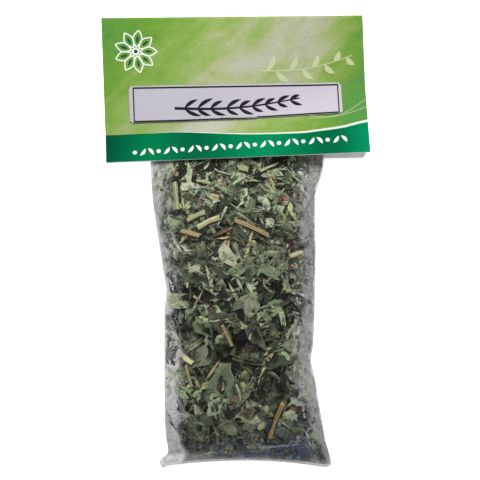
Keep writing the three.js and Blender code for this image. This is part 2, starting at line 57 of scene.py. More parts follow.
# Driving dimensions of the header, as in the part's source
CARD_WIDTH = 90 * MM
CARD_LEAF = 50 * MM
CARD_THICK = 0.4 * MM
CARD_GAP = 1.5 * MM
CARD_UNDERSIDE = 0.7 * MM
CARD_TURN = math.radians(0.6)
CARD_LEAN = 0.026  # the card's sides lean this much, as a share of the way down
CARD_MIDDLE = (-0.4 * MM, 52.3 * MM)
CARD_LIFT = math.radians(25)
LIFT_START = 30 * MM  # below the fold, half way across
LIFT_SLANT = 11.5 * MM  # the lift starts this much lower at the left edge, and higher at the right one
LIFT_REACH = 11 * MM
CARD_CORNER = 2.2 * MM
BACK_LEAF = 48.7 * MM
STRIP_WIDTH = 73 * MM
STRIP_HEIGHT = 12.2 * MM
STRIP_TOP = 23.2 * MM
STRIP_SHIFT = 0.2 * MM
STRIP_SKEW = 0.012
STRIP_THICK = 0.3 * MM
STRIP_GAP = 0.3 * MM
STRIP_CORNER = 1.1 * MM


# ---- helpers

def srgb(red, green, blue):
    """The surface colour that shows as these display values, 0 to 255, on a level face in this light."""
    def linear(value):
        value /= 255
        return SHOWN * (value / 12.92 if value <= 0.04045 else ((value + 0.055) / 1.055) ** 2.4)
    return (linear(red), linear(green), linear(blue))


def smoothstep(value):
    value = np.clip(value, 0, 1)
    return value * value * (3 - 2 * value)


def bump(value, middle, spread):
    """A smooth bump, 1 high at the middle."""
    return np.exp(-((value - middle) / spread) ** 2)


def look_up(table, value):
    """Reads a table of (position, number) pairs between its entries."""
    return np.interp(value, *zip(*table))


def within(value, low, rise, high, fall):
    """0 outside a range and 1 well inside it, after a rise of some length and before a fall."""
    return smoothstep((value - low) / rise) * smoothstep((high - value) / fall)


def add_object(name, data):
    made = bpy.data.objects.new(name, data)
    bpy.context.scene.collection.objects.link(made)
    return made


def make_object(name, points, faces, material, smooth=True, uvs=None, colors=None):
    """A mesh object. uvs and colors hold one value per point."""
    mesh = bpy.data.meshes.new(name)
    points = np.asarray(points, dtype=np.float64)
    mesh.from_pydata(points.tolist(), [], faces if isinstance(faces, list) else faces.tolist())
    if uvs is not None:
        layer = mesh.uv_layers.new(name="UVMap")
        corners = np.empty(len(mesh.loops), dtype=np.int32)
        mesh.loops.foreach_get("vertex_index", corners)
        layer.data.foreach_set("uv", np.asarray(uvs, dtype=np.float32)[corners].ravel())
    if colors is not None:
        layer = mesh.color_attributes.new("tint", "FLOAT_COLOR", "POINT")
        layer.data.foreach_set("color", np.asarray(colors, dtype=np.float32).ravel())
    if smooth:
        mesh.shade_smooth()
    mesh.materials.append(material)
    return add_object(name, mesh)


def make_piece(name, points, faces, material, replaces=None, **more):
    """A piece of the packet, which may stand for a node of the frame."""
    piece = make_object(name, points, faces, material, **more)
    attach(piece, "root")
    if replaces:
        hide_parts(replaces)


def grid_faces(rows, columns, wrap=False):
    """Quads of a grid of points, row by row. wrap joins each row's ends."""
    steps = columns if wrap else columns - 1
    row, column = np.meshgrid(np.arange(rows - 1), np.arange(steps), indexing="ij")
    here = row * columns + column
    beside = row * columns + (column + 1) % columns
    return np.stack([here, beside, beside + columns, here + columns], axis=-1).reshape(-1, 4)


def grid_rim(rows, columns):
    """The steps round a grid's edge, from point to point."""
    count = rows * columns
    loop = list(range(columns)) + [r * columns + columns - 1 for r in range(1, rows)]
    loop += [count - 1 - i for i in range(1, columns)] + [r * columns for r in range(rows - 2, 0, -1)]
    return zip(loop, loop[1:] + loop[:1])


def blur(values, sigma, axis, wrap=False):
    """Gaussian smoothing along one axis of an array."""
    reach = int(sigma * 3) + 1
    weights = np.exp(-0.5 * (np.arange(-reach, reach + 1) / sigma) ** 2)
    weights /= weights.sum()
    moved = np.moveaxis(values, axis, 0)
    pad = [(reach, reach)] + [(0, 0)] * (moved.ndim - 1)
    padded = np.pad(moved, pad, mode="wrap" if wrap else "edge")
    result = sum(w * padded[i:i + len(moved)] for i, w in enumerate(weights))
    return np.moveaxis(result, 0, axis)


def waves(points, size, seed, octaves):
    """Smooth noise from -1 to 1 at each point, as an array."""
    offset = Vector((seed * 13.7, seed * 7.1, seed * 3.3))
    return np.array([
        noise.fractal(Vector(p) / size + offset, 1.0, 2.0, octaves, noise_basis="PERLIN_ORIGINAL")
        for p in points
    ])


def node_tree(name):
    mesh = frame["nodes"][name].data
    faces = [list(face.vertices) for face in mesh.polygons]
    return BVHTree.FromPolygons([vertex.co.copy() for vertex in mesh.vertices], faces)


def node_points(name):
    return np.array([v.co[:] for v in frame["nodes"][name].data.vertices])


class Shader:
    """A material's node tree, with short ways to add and link nodes."""

    def __init__(self, name):
        self.material = bpy.data.materials.new(name)
        self.material.use_nodes = True
        self.tree = self.material.node_tree
        self.tree.nodes.clear()
        self.output = self.add("ShaderNodeOutputMaterial")

    def add(self, kind, inputs=None, **settings):
        node = self.tree.nodes.new(kind)
        for key, value in settings.items():
            setattr(node, key, value)
        for key, value in (inputs or {}).items():
            socket = node.inputs[key]
            if isinstance(value, bpy.types.NodeSocket):
                self.tree.links.new(value, socket)
            else:
                socket.default_value = (*value[:3], 1) if socket.type == "RGBA" else value
        return node

    def surface(self, node):
        self.tree.links.new(node.outputs[0], self.output.inputs["Surface"])
        return self.material

    def principled(self, color, roughness, more=None):
        """The finished material, with a principled surface."""
        inputs = {"Base Color": color, "Roughness": roughness, **(more or {})}
        return self.surface(self.add("ShaderNodeBsdfPrincipled", inputs))

    def coordinates(self, kind="Object"):
        return self.add("ShaderNodeTexCoord").outputs[kind]

    def split(self, vector):
        """The X, Y and Z of a vector."""
        return list(self.add("ShaderNodeSeparateXYZ", {0: vector}).outputs)

    def scaled(self, vector, scale, turn=0):
        """A vector scaled, and then turned about Z."""
        inputs = {"Vector": vector, "Rotation": (0, 0, turn), "Scale": scale}
        return self.add("ShaderNodeMapping", inputs).outputs[0]

    def tint(self, kind="Color"):
        """What the mesh's points hold as their tint."""
        return self.add("ShaderNodeAttribute", attribute_name="tint").outputs[kind]

    def math(self, operation, *values):
        return self.add("ShaderNodeMath", dict(enumerate(values)), operation=operation).outputs[0]

    def mix(self, factor, first, second, blend="MIX"):
        """A mix of two colours, which are this node's inputs 6 and 7, and its output 2."""
        inputs = {0: factor, 6: first, 7: second}
        return self.add("ShaderNodeMix", inputs, data_type="RGBA", blend_type=blend).outputs[2]

    def multiply(self, first, second):
        return self.mix(1.0, first, second, "MULTIPLY")

    def layer(self, factor, below, above):
        """A surface shown over another one."""
        return self.add("ShaderNodeMixShader", {"Fac": factor, 1: below.outputs[0], 2: above.outputs[0]})

    def ramp(self, value, stops, smooth=False):
        """Maps a value through (position, grey or colour) stops."""
        node = self.add("ShaderNodeValToRGB", {"Fac": value})
        node.color_ramp.interpolation = "CARDINAL" if smooth else "LINEAR"
        elements = node.color_ramp.elements
        while len(elements) < len(stops):
            elements.new(0.5)
        for element, (position, color) in zip(elements, stops):
            element.position = position
            element.color = (*color[:3], 1) if isinstance(color, tuple) else (color, color, color, 1)
        return node.outputs["Color"]

    def noise(self, vector, scale, detail=3, roughness=0.5, distortion=0.0):
        inputs = {"Vector": vector, "Scale": scale, "Detail": detail, "Roughness": roughness,
                  "Distortion": distortion}
        return self.add("ShaderNodeTexNoise", inputs).outputs["Fac"]


# ---- the bag's form, read from the frame

SECTIONS = 190
AROUND = 112
RING_ANGLES = FULL_TURN * np.arange(AROUND) / AROUND
BAG_MIDDLE = 1.0 * MM  # across the packet
SEAL_SAG = 2.4 * MM  # the seal's corners hang this much lower than its middle
END_GAPS = (0.02 * MM, 0.05 * MM)  # the rings stop this far inside the seal and the mouth
RAY_HEIGHT = 100 * MM  # rays towards the film start this far above or below it
WIDEST_HALF = 40 * MM
EDGE_STEPS = 15  # the search for an edge halves its stretch this often
EDGE_SHARE = 0.998  # the rings go this share of the way out to the edges
SHARP_ROWS = 5  # the first rows keep the seal's sharp corners
SMOOTH_ALONG, SMOOTH_ROUND = 1.6, 1.7  # in rings along the bag, and in points round it
film_tree = node_tree("bag_film")
film_low, film_high = (np.array(corner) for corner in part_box("bag_film"))


def film_height(x, y, from_above):
    """The film's outer face over a point, from above or below, or None beside the bag."""
    side = 1 if from_above else -1
    hit = film_tree.ray_cast(Vector((x, y, side * RAY_HEIGHT)), Vector((0, 0, -side)))[0]
    return None if hit is None else hit.z


def film_edge(y, sign):
    """Where the film ends to one side of the bag's middle."""
    inner, outer = 0.0, WIDEST_HALF
    for _ in range(EDGE_STEPS):
        probe = (inner + outer) / 2
        if film_height(BAG_MIDDLE + sign * probe, y, True) is None:
            outer = probe
        else:
            inner = probe
    return BAG_MIDDLE + sign * inner


def film_sections():
    """Rings of points round the bag, from its seal to its mouth: [station, point, xyz]."""
    ys = np.linspace(film_low[1] + SEAL_SAG + END_GAPS[0], film_high[1] - END_GAPS[1], SECTIONS)
    rings = np.zeros((SECTIONS, AROUND, 3))
    for i, y in enumerate(ys):
        left, right = film_edge(y, -1), film_edge(y, 1)
        for j, angle in enumerate(RING_ANGLES):
            x = (left + right) / 2 + EDGE_SHARE * math.cos(angle) * (right - left) / 2
            z = film_height(x, y, math.sin(angle) >= 0)
            rings[i, j] = (x, y, rings[i, j - 1, 2] if z is None else z)
    return rings


def without_facets(rings):
    """The rings, smoothed along the bag and round it."""
    keep = smoothstep(np.arange(SECTIONS) / SHARP_ROWS)[:, None]
    for axis in (0, 2):
        soft = blur(rings[:, :, axis], SMOOTH_ALONG, axis=0)
        rings[:, :, axis] = rings[:, :, axis] * (1 - keep) + soft * keep
    rings[:, :, 2] = blur(rings[:, :, 2], SMOOTH_ROUND, axis=1, wrap=True)
    return rings


FORM = without_facets(film_sections())
FORM_STEP = FORM[1, 0, 1] - FORM[0, 0, 1]
FORM_START = FORM[0, 0, 1]


def form_point(y, angle):
    """A point on the bag's smooth form, at heights and angles that need not fall on a grid point."""
    row = np.clip((y - FORM_START) / FORM_STEP, 0, SECTIONS - 1.001)
    column = (angle / FULL_TURN * AROUND) % AROUND
    r, c = np.floor(row).astype(int), np.floor(column).astype(int)
    fr, fc = (row - r)[..., None], (column - c)[..., None]
    c, after = c % AROUND, (c + 1) % AROUND
    low = FORM[r, c] * (1 - fc) + FORM[r, after] * fc
    high = FORM[r + 1, c] * (1 - fc) + FORM[r + 1, after] * fc
    return low * (1 - fr) + high * fr


def form_normal(y, angle):
    """The outward direction of the bag's form."""
    up = form_point(y + 1.5 * MM, angle) - form_point(y - 1.5 * MM, angle)
    around = form_point(y, angle + 0.08) - form_point(y, angle - 0.08)
    normal = np.cross(up, around)
    return normal / np.linalg.norm(normal, axis=-1, keepdims=True)


def form_sides(y):
    """How far left and right the bag's form reaches, at some heights."""
    return form_point(y, np.full(y.shape, np.pi))[..., 0], form_point(y, np.zeros(y.shape))[..., 0]


def angle_over(x, y, most):
    """The angle on the bag's upper face at which a point lies, and most is how near to an edge it may be."""
    left, right = form_sides(y)
    return np.arccos(np.clip((2 * x - left - right) / (right - left), -most, most))


# How the seal is bowed from the form's straight first ring
BOW_REACH = 14 * MM  # from this height over the seal upwards nothing hangs lower
BOW_MIDDLE = 0.6 * MM  # the seal's middle hangs this much lower
BOW_LEFT, BOW_RIGHT = 1.7 * MM, 2.6 * MM  # and its corners this much more
RIGHT_BULGE = 0.9 * MM  # the bag is this much wider beside its right corner
BULGE_MIDDLE, BULGE_SPREAD = 2 * MM, 3.5 * MM
ROUNDED_END = 1.3 * MM  # the right corner's tip is taken up this far
LOBE = 3.7 * MM  # the seal's left end sticks out this far
LOBE_DROP = 0.75 * MM
LOBE_MIDDLE, LOBE_SPREAD = 1.4 * MM, 1.4 * MM
TIP_SPREAD = 1.2 * MM


def outer_part(side, start):
    """0 up to a share of the way out to one side, and 1 at its edge."""
    return np.clip((side - start) / (1 - start), 0, 1)


def bow_seal(points):
    """Moves points near the seal: its corners hang lower, the right one rounded and the left one a lobe."""
    left, right = form_sides(points[..., 1])
    side = np.clip((2 * points[..., 0] - left - right) / (right - left), -1, 1)
    up = points[..., 1] - FORM_START
    left_tip, right_tip = outer_part(-side, 0.9), outer_part(side, 0.92)
    moved = points.copy()
    moved[..., 0] += RIGHT_BULGE * bump(up, BULGE_MIDDLE, BULGE_SPREAD) * outer_part(side, 0.75)
    moved[..., 0] -= LOBE * bump(up, LOBE_MIDDLE, LOBE_SPREAD) * left_tip
    near = np.clip(1 - up / BOW_REACH, 0, 1) ** 2
    moved[..., 1] -= near * (BOW_MIDDLE + np.where(side < 0, BOW_LEFT, BOW_RIGHT) * side ** 2)
    moved[..., 1] += bump(up, 0, TIP_SPREAD) * (ROUNDED_END * right_tip ** 2 - LOBE_DROP * left_tip ** 2)
    return moved


# ---- materials

def leaf_material():
    """A dried leaf piece in its own tint, with a paler midrib and faint side veins along its own axes, and
    paler rims as a painted highlight.
    """
    shader = Shader("dried leaf")
    where, uv = shader.coordinates(), shader.coordinates("UV")
    along, across, _ = shader.split(uv)
    mottle = shader.ramp(shader.noise(where, 600, 6, 0.75), [(0.3, 0.6), (0.5, 1.0), (0.72, 1.35)])
    color = shader.multiply(shader.tint(), mottle)
    # streaks along the piece, which differ from piece to piece
    drawn = {0: shader.scaled(uv, (2.5, 22, 1)), 1: shader.scaled(where, (160, 160, 160))}
    streaks = shader.noise(shader.add("ShaderNodeVectorMath", drawn, operation="ADD").outputs[0], 1.0, 3, 0.6)
    color = shader.multiply(color, shader.ramp(streaks, [(0.32, 0.62), (0.5, 1.0), (0.68, 1.3)]))
    pale = shader.multiply(color, (1.55, 1.5, 1.4))
    off = shader.math("ABSOLUTE", shader.math("SUBTRACT", across, 0.5))
    phase = shader.math("MULTIPLY", shader.math("ADD", along, shader.math("MULTIPLY", off, 0.5)), 50.0)
    veins = shader.ramp(shader.math("SINE", phase), [(0.8, 0.0), (1.0, 0.35)])
    # paler along the midrib, and paler again at the rims as a painted highlight
    midrib_and_rim_highlight = shader.ramp(off, [(0.0, 0.9), (0.03, 0.7), (0.06, 0.0), (0.44, 0.0), (0.5, 0.4)])
    color = shader.mix(midrib_and_rim_highlight, shader.mix(veins, color, pale), pale)
    wrinkles = shader.noise(where, 900, 5, 0.65, 0.5)
    crumpled = shader.add("ShaderNodeBump", {"Strength": 0.9, "Distance": 0.7 * MM, "Height": wrinkles})
    return shader.principled(color, 0.6, {"Specular IOR Level": 0.3, "Normal": crumpled.outputs[0]})


def core_material():
    shader = Shader("shaded herb")
    mottle = shader.noise(shader.coordinates(), 700, 4)
    # painted shade: the herb deep inside the bag is coloured near black for the shade there
    return shader.principled(shader.ramp(mottle, [(0.3, srgb(16, 18, 15)), (0.7, srgb(38, 40, 32))]), 0.9)


def stem_material():
    shader = Shader("dried stem")
    mottle = shader.noise(shader.coordinates(), 1100, 4, 0.6)
    mottle = shader.ramp(mottle, [(0.3, 0.78), (0.52, 1.0), (0.75, 1.2)])
    return shader.principled(shader.multiply(shader.tint(), mottle), 0.6)


def film_material():
    """Clear film: most light passes straight through, less of it where the film is seen edge on.
    The points' tint says how hazy the film is, how strong its painted blue reflection is, and how creased it
    is; the creased film lets less light through, partly as painted shade."""
    shader = Shader("clear film")
    where = shader.coordinates()
    haze, blue, creased_and_shaded = shader.split(shader.tint("Vector"))
    facing = shader.add("ShaderNodeLayerWeight", {"Blend": 0.5}).outputs["Facing"]
    through = shader.ramp(facing, [(0.0, 0.985), (0.5, 0.95), (0.8, 0.8), (1.0, 0.45)])
    # where creased the film lets less light through: partly the folded film, partly painted shade for the
    # floor under the bag's sides
    through = shader.mix(creased_and_shaded, through, (0.42, 0.42, 0.43))
    clear = shader.add("ShaderNodeBsdfTransparent", {"Color": through})
    milk = shader.add("ShaderNodeBsdfDiffuse", {"Color": (0.52, 0.525, 0.52)})
    # painted reflection: where blue is high, noisy patches of dark blue colour stand in for the film's bluish
    # reflections
    painted_blue_reflection_color = shader.add("ShaderNodeBsdfDiffuse", {"Color": (0.03, 0.046, 0.11)})
    gloss = shader.add("ShaderNodeBsdfGlossy", {"Color": (0.9, 0.94, 1), "Roughness": 0.07})
    cloud = shader.ramp(shader.noise(where, 480, 5, 0.7, 0.8), [(0.36, 0.62), (0.5, 1.0), (0.64, 1.25)])
    painted_reflection_patches = shader.ramp(shader.noise(where, 560, 6, 0.8, 0.8), [(0.46, 0.0), (0.59, 0.85)])
    mirror = shader.ramp(facing, [(0.0, 0.007), (0.5, 0.02), (0.85, 0.08), (1.0, 0.2)])
    film = shader.layer(shader.math("MULTIPLY", cloud, haze), clear, milk)
    film = shader.layer(shader.math("MULTIPLY", painted_reflection_patches, blue), film, painted_blue_reflection_color)
    return shader.surface(shader.layer(mirror, film, gloss))


def crease_material():
    """A soft pale line where the film is folded, fading out at its edges: partly the folded film's milkiness
    and partly a painted highlight.
    """
    shader = Shader("film crease")
    broken = shader.ramp(shader.noise(shader.coordinates(), 450, 4, 0.7), [(0.35, 0.1), (0.62, 0.85)])
    cover = shader.math("MULTIPLY", shader.split(shader.tint("Vector"))[0], broken)
    # pale bluish colour, partly a painted highlight along the fold
    milk = shader.add("ShaderNodeBsdfDiffuse", {"Color": (0.36, 0.38, 0.42)})
    return shader.surface(shader.layer(cover, shader.add("ShaderNodeBsdfTransparent"), milk))


STROKE_SLOPE = math.radians(41)
# The dark band's waved upper edge: (share of the way across, share of the way down)
BAND_EDGE = [(0.0, 0.805), (0.12, 0.798), (0.3, 0.792), (0.5, 0.82), (0.7, 0.833), (0.8, 0.826), (0.92, 0.8),
             (1.0, 0.768)]
# The wash and the band in their colours: from pale to full, and from left to right
WASH_COLORS = [(0.24, srgb(190, 192, 172)), (0.4, srgb(176, 184, 138)), (0.56, srgb(150, 178, 96)),
               (0.78, srgb(122, 164, 66)), (1.0, srgb(92, 154, 74))]
# Painted shade across the card, from left to right: the wash is coloured darker towards its left and right
# ends
PAINTED_WASH_SHADE = [(0.1, (0.84, 0.9, 0.8)), (0.4, (1.0, 1.0, 1.0)), (0.9, (0.92, 0.9, 0.96))]
BAND_COLORS = [(0.0, srgb(2, 80, 58)), (0.17, srgb(2, 120, 74)), (0.35, srgb(2, 98, 64)),
               (0.6, srgb(2, 134, 86)), (0.86, srgb(2, 102, 66)), (1.0, srgb(4, 138, 92))]


def card_material():
    """The header's printed side: a loose green wash, with a dark green band under a waved white line."""
    shader = Shader("printed card")
    uv = shader.coordinates("UV")
    across, down, _ = shader.split(uv)
    # brush strokes from the lower left to the upper right: turned X is along them, turned Y across them
    turned = shader.scaled(uv, (CARD_WIDTH / CARD_LEAF, 1, 1), STROKE_SLOPE)
    strokes = shader.noise(shader.scaled(turned, (0.8, 3.4, 1)), 1.6, 6, 0.62, 0.5)
    patches = shader.noise(uv, 5.5, 5, 0.65, 0.4)
    grain = shader.ramp(shader.noise(uv, 60.0, 4, 0.7), [(0.3, 0.9), (0.7, 1.08)])
    # paler along a broad slanting band
    off = shader.math("ABSOLUTE", shader.math("SUBTRACT", shader.split(turned)[1], 1.0))
    right_edge = shader.ramp(across, [(0.8, 0.0), (1.0, 0.42)])
    green = shader.math("ADD", shader.math("MULTIPLY", off, 0.72), right_edge)
    for marks, strength in ((strokes, 0.85), (patches, 0.6)):
        marks = shader.math("MULTIPLY", shader.math("SUBTRACT", marks, 0.5), strength)
        green = shader.math("ADD", green, marks)
    wash = shader.multiply(shader.ramp(shader.math("ADD", green, 0.3), WASH_COLORS), grain)
    # painted shade: darker towards the card's left and right ends
    wash = shader.multiply(wash, shader.ramp(across, PAINTED_WASH_SHADE))
    edge = shader.ramp(across, BAND_EDGE, smooth=True)
    line_width = shader.math("MULTIPLY_ADD", across, 0.022, -0.003)
    band = shader.math("GREATER_THAN", down, edge)
    line = shader.math("GREATER_THAN", down, shader.math("SUBTRACT", edge, line_width))
    color = shader.mix(line, wash, srgb(226, 231, 222))
    color = shader.mix(band, color, shader.ramp(across, BAND_COLORS, smooth=True))
    return shader.principled(color, 0.6, {"Specular IOR Level": 0.03})


def paper_material(name, color, roughness=0.8):
    return Shader(name).principled(color, roughness, {"Specular IOR Level": 0.25})


def strip_material():
    """Lilac-white paper, coloured a little darker to the left as painted shade."""
    shader = Shader("strip paper")
    across = shader.math("MULTIPLY_ADD", shader.split(shader.coordinates())[0], 1 / STRIP_WIDTH, 0.5)
    # painted shade: darker towards the left
    stops = [(0.0, srgb(191, 187, 198)), (0.35, srgb(194, 190, 200)), (0.8, srgb(202, 196, 207))]
    return shader.principled(shader.ramp(across, stops), 0.8, {"Specular IOR Level": 0.25})


def steel_material():
    return Shader("staple wire").principled(srgb(236, 236, 240), 0.32, {"Metallic": 0.5})


# ---- the film

# The milky strip along each side of the bag, at heights in millimetres: how wide it is, and how milky
LEFT_WIDTHS = [(-75, 4.5), (-62, 5.5), (-45, 4.8), (-32, 5.4), (-25, 2.2), (0, 2.2), (28, 2.6)]
LEFT_COVER = [(-35, 1.45), (10, 1.0)]
RIGHT_WIDTHS = [(-75, 2.2), (-62, 3.4), (-55, 5.4), (-38, 5.8), (-20, 4.2), (0, 4.6), (28, 3.4)]
RIGHT_COVER = [(-35, 0.85), (10, 0.6)]
MILK_FADE = 1.6 * MM
LEAST_HAZE, STRIP_HAZE, SEAL_HAZE = 0.008, 0.42, 0.33
# how much less light the film lets through where it is creased, partly as painted shade
CREASED_AND_SHADED = 0.5
# Painted bluish reflections above the seal and up the right side: how strong each is, and then across the
# packet and above the seal, in millimetres, where it starts, its rise's length, where it ends and its fall's
# length
PAINTED_BLUE_REFLECTIONS = [(1.0, (-9, 4, 27, 5), (0, 1.5, 9.5, 4)), (0.1, (16, 4, 24, 4), (38, 8, 78, 20))]
# How deep the crinkles are: long soft ones, and sharp and fine ridges
SOFT_DEPTH, SHARP_DEPTH, FINE_DEPTH = 0.16 * MM, 0.34 * MM, 0.2 * MM
FULL_BAG = 6 * MM  # where the bag is this thick, its crinkles are full
NECK_START, NECK_END = 33 * MM, 45 * MM  # they fade out over this stretch


def crinkled(rings):
    """The bag's rings with long soft crinkles and short sharp ones, all pressed inwards."""
    ys = rings[:, :, 1]
    normals = form_normal(ys, np.broadcast_to(RING_ANGLES, ys.shape))
    flat = rings.reshape(-1, 3)

    def ridges(size, seed, octaves, stretch=(1, 1, 1)):
        return np.clip(2.4 * np.abs(waves(flat * np.array(stretch), size, seed, octaves)), 0, 1)

    soft = waves(flat * np.array([1, 0.45, 1]), 9 * MM, 1, 2)
    depth = SOFT_DEPTH * (0.5 - 0.5 * soft) + SHARP_DEPTH * ridges(5.5 * MM, 2, 3, (1, 0.6, 1))
    depth += FINE_DEPTH * ridges(2.6 * MM, 3, 2)
    # less where the bag is thin, and none in its flattened neck
    thickness = np.abs(rings[:, :, 2] - rings[:, -np.arange(AROUND), 2])
    room = np.clip(thickness / FULL_BAG, 0, 1) * np.clip((NECK_END - ys) / (NECK_END - NECK_START), 0, 1)
    return rings - normals * (depth.reshape(ys.shape) * room)[..., None]


def film_marks(rings):
    """How hazy the film is, how strong its painted blue reflection is, and how creased it is, at each point.
    """
    ys = rings[:, :, 1]
    x, up = rings[:, :, 0] / MM, (ys - FORM_START) / MM
    # milkier along the sides, where the film is creased and stands off the herb, and along the seal
    left, right = form_sides(ys)
    strip = np.zeros_like(ys)
    for widths, cover, inward, phase in ((LEFT_WIDTHS, LEFT_COVER, rings[:, :, 0] - left, np.pi),
                                         (RIGHT_WIDTHS, RIGHT_COVER, right - rings[:, :, 0], 0)):
        wander = 0.9 * MM * np.sin(ys / MM * 0.37 + phase) + 0.5 * MM * np.sin(ys / MM * 1.3)
        inside = smoothstep((look_up(widths, ys / MM) * MM + wander - inward) / MILK_FADE + 0.5)
        strip = np.maximum(strip, look_up(cover, ys / MM) * inside)
    seal = smoothstep(1.2 - up / 2.2 + 0.3 * np.sin(x * 1.1) * np.sin(x * 0.43))
    low_left = smoothstep((-4 - x) / 8) * smoothstep((4.5 - up) / 3)
    haze = LEAST_HAZE + STRIP_HAZE * strip + SEAL_HAZE * np.maximum(seal, low_left)
    # how strong the painted blue reflections are at each point
    painted_reflection_strengths = [share * within(x, *across) * within(up, *above) for share, across, above in PAINTED_BLUE_REFLECTIONS]
    # creased film, which lets less light through partly as painted shade
    creased_and_shaded = CREASED_AND_SHADED * np.maximum(strip, seal)
    marks = [haze, np.max(painted_reflection_strengths, axis=0), creased_and_shaded, np.ones_like(haze)]
    return np.stack(marks, axis=-1).reshape(-1, 4)


def make_film():
    rings = crinkled(FORM)
    faces = grid_faces(SECTIONS, AROUND, wrap=True)
    make_piece("film", bow_seal(rings).reshape(-1, 3), faces, film_material(), "bag_film",
               colors=film_marks(rings))


# Soft folds in the film near the seal and beside the strips, drawn pale, partly as painted highlight: (x, y)
# in millimetres
CREASES = [
    [(3.2, -70.2), (9.1, -69.5), (17, -69.1), (25.6, -68.5)],
    [(21.9, -62.3), (24.1, -64.5), (25.4, -68.5), (28.5, -72.4)],
    [(-14.4, -73.4), (-8.3, -71.1), (-4.8, -72.4)],
    [(21.4, -41.7), (21.9, -49.9), (22.4, -54.7)],
    [(-20.1, -43.9), (-19.7, -50), (-18.4, -57.5), (-18.8, -63.7)],
]
CREASE_WIDTH = 1.1 * MM
CREASE_LIFT = 0.1 * MM
CREASE_WANDER = 0.5 * MM
CREASE_STEPS = 30
# Across a crease: (share of its half width, strength)
CREASE_SECTION = [(-1, 0), (-0.3, 0.8), (0, 1), (1, 0)]


def make_creases():
    points, faces, tint = [], [], []
    for number, crease in enumerate(CREASES):
        corners = np.array(crease) * MM
        at = np.linspace(0, len(corners) - 1, CREASE_STEPS)
        line = np.stack([np.interp(at, np.arange(len(corners)), corners[:, i]) for i in (0, 1)], axis=-1)
        line = blur(line, 3, axis=0) + blur(rng.normal(0, CREASE_WANDER, line.shape), 2, axis=0)
        along = np.gradient(line, axis=0)
        across = np.stack([-along[:, 1], along[:, 0]], axis=-1) / np.linalg.norm(along, axis=1, keepdims=True)
        taper = np.sin(np.pi * np.linspace(0.03, 0.97, CREASE_STEPS))
        for side, strength in CREASE_SECTION:
            x, y = (line + across * (side * CREASE_WIDTH / 2 * taper)[:, None]).T
            angle = angle_over(x, y, most=0.999)
            points.append(form_point(y, angle) + CREASE_LIFT * form_normal(y, angle))
            tint.append(np.stack([strength * taper] * 3 + [np.ones(CREASE_STEPS)], axis=-1))
        rows = len(CREASE_SECTION)
        faces.append(grid_faces(rows, CREASE_STEPS) + number * rows * CREASE_STEPS)
    make_piece("film_creases", bow_seal(np.concatenate(points)), np.concatenate(faces), materials["crease"],
               colors=np.concatenate(tint))


# ---- the herb

HERB_LOW, HERB_HIGH = (np.array(corner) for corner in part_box("tarragon_leaves"))
LEAF_COLORS = [
    # share, colour: most pieces are grey-green, some paler or olive, and a few brown
    (0.26, srgb(98, 108, 86)), (0.2, srgb(118, 127, 104)), (0.15, srgb(78, 88, 68)),
    (0.13, srgb(138, 144, 122)), (0.1, srgb(88, 102, 74)), (0.07, srgb(124, 126, 92)),
    (0.04, srgb(156, 157, 132)), (0.03, srgb(92, 82, 66)), (0.02, srgb(76, 60, 52)),
]
SLIVER_COLORS = [
    # cut bits of stalk and midrib among the leaves
    (0.3, srgb(134, 142, 120)), (0.25, srgb(150, 146, 114)), (0.2, srgb(120, 124, 96)),
    (0.15, srgb(168, 163, 130)), (0.1, srgb(104, 90, 68)),
]
GREY_COLORS = [
    # the dusty pieces at the bag's sides
    (0.4, srgb(108, 112, 100)), (0.3, srgb(86, 92, 78)), (0.2, srgb(136, 138, 124)), (0.1, srgb(96, 106, 78)),
]
BROWN_COLORS = [
    (0.5, srgb(84, 60, 52)), (0.25, srgb(104, 75, 61)), (0.15, srgb(126, 88, 70)), (0.1, srgb(140, 114, 78)),
]
# painted shade: the colours of dark scraps that stand in for the shade in the gaps between the leaves
PAINTED_GAP_SHADE_COLORS = [(0.6, srgb(52, 54, 46)), (0.4, srgb(62, 56, 48))]
# Where brown scraps gather: (x, y, spread) in millimetres and how many
BROWN_SPOTS = [
    (-5.7, 18.8, 2.6, 10), (-15.7, 2.6, 2.0, 7), (-0.9, 2.0, 1.0, 3), (-8.5, -23.5, 2.0, 6),
    (19.4, 0.2, 1.6, 5), (19.4, -9.0, 1.6, 4), (13.0, 22.3, 1.6, 4), (18.0, 14.7, 1.4, 3),
    (4.3, 15.9, 2.2, 6), (-19.8, 22.9, 1.8, 6), (22.0, -58.8, 2.2, 6), (20.4, -71.5, 1.3, 4),
    (-18.4, -56.1, 1.0, 3), (12.8, -64.5, 1.4, 3),
]
# Where the painted shade of the gaps between the leaves is widest, as dark scraps, in the same way
PAINTED_GAP_SHADE_SPOTS = [
    (-13.3, -66.0, 2.6, 9), (-1.6, -57.0, 2.2, 7), (7.0, -51.5, 1.6, 5), (7.0, -46.6, 2.2, 8),
    (15.8, -45.8, 1.6, 5), (12.8, -41.0, 1.6, 5), (22.5, -70.5, 1.8, 6), (-4.0, -18.4, 2.2, 7),
    (7.6, -15.0, 1.8, 6), (-7.4, -7.7, 1.8, 6), (-16.5, -70.5, 2.2, 7), (2.5, -67.5, 1.8, 5),
    (-17.0, -33.0, 1.5, 4), (19.0, -24.0, 1.6, 5),
]
HOLLOW_PLACE = (1.9 * MM, -33 * MM)  # a brownish hollow among the leaves
HOLLOW_SIZE = 6 * MM
HOLLOW_DEPTH = 1.4 * MM
HOLLOW_STRENGTH = 0.85
HOLLOW_COLOR = np.array(srgb(72, 57, 48))
# Painted light and shade: how light a leaf piece is coloured at a depth under the film in millimetres,
# lighter near the film and darker deeper down
PAINTED_DEPTH_SHADING = [(0.5, 1.8), (1.1, 1.1), (1.9, 0.4), (3.4, 0.12), (5.0, 0.06)]
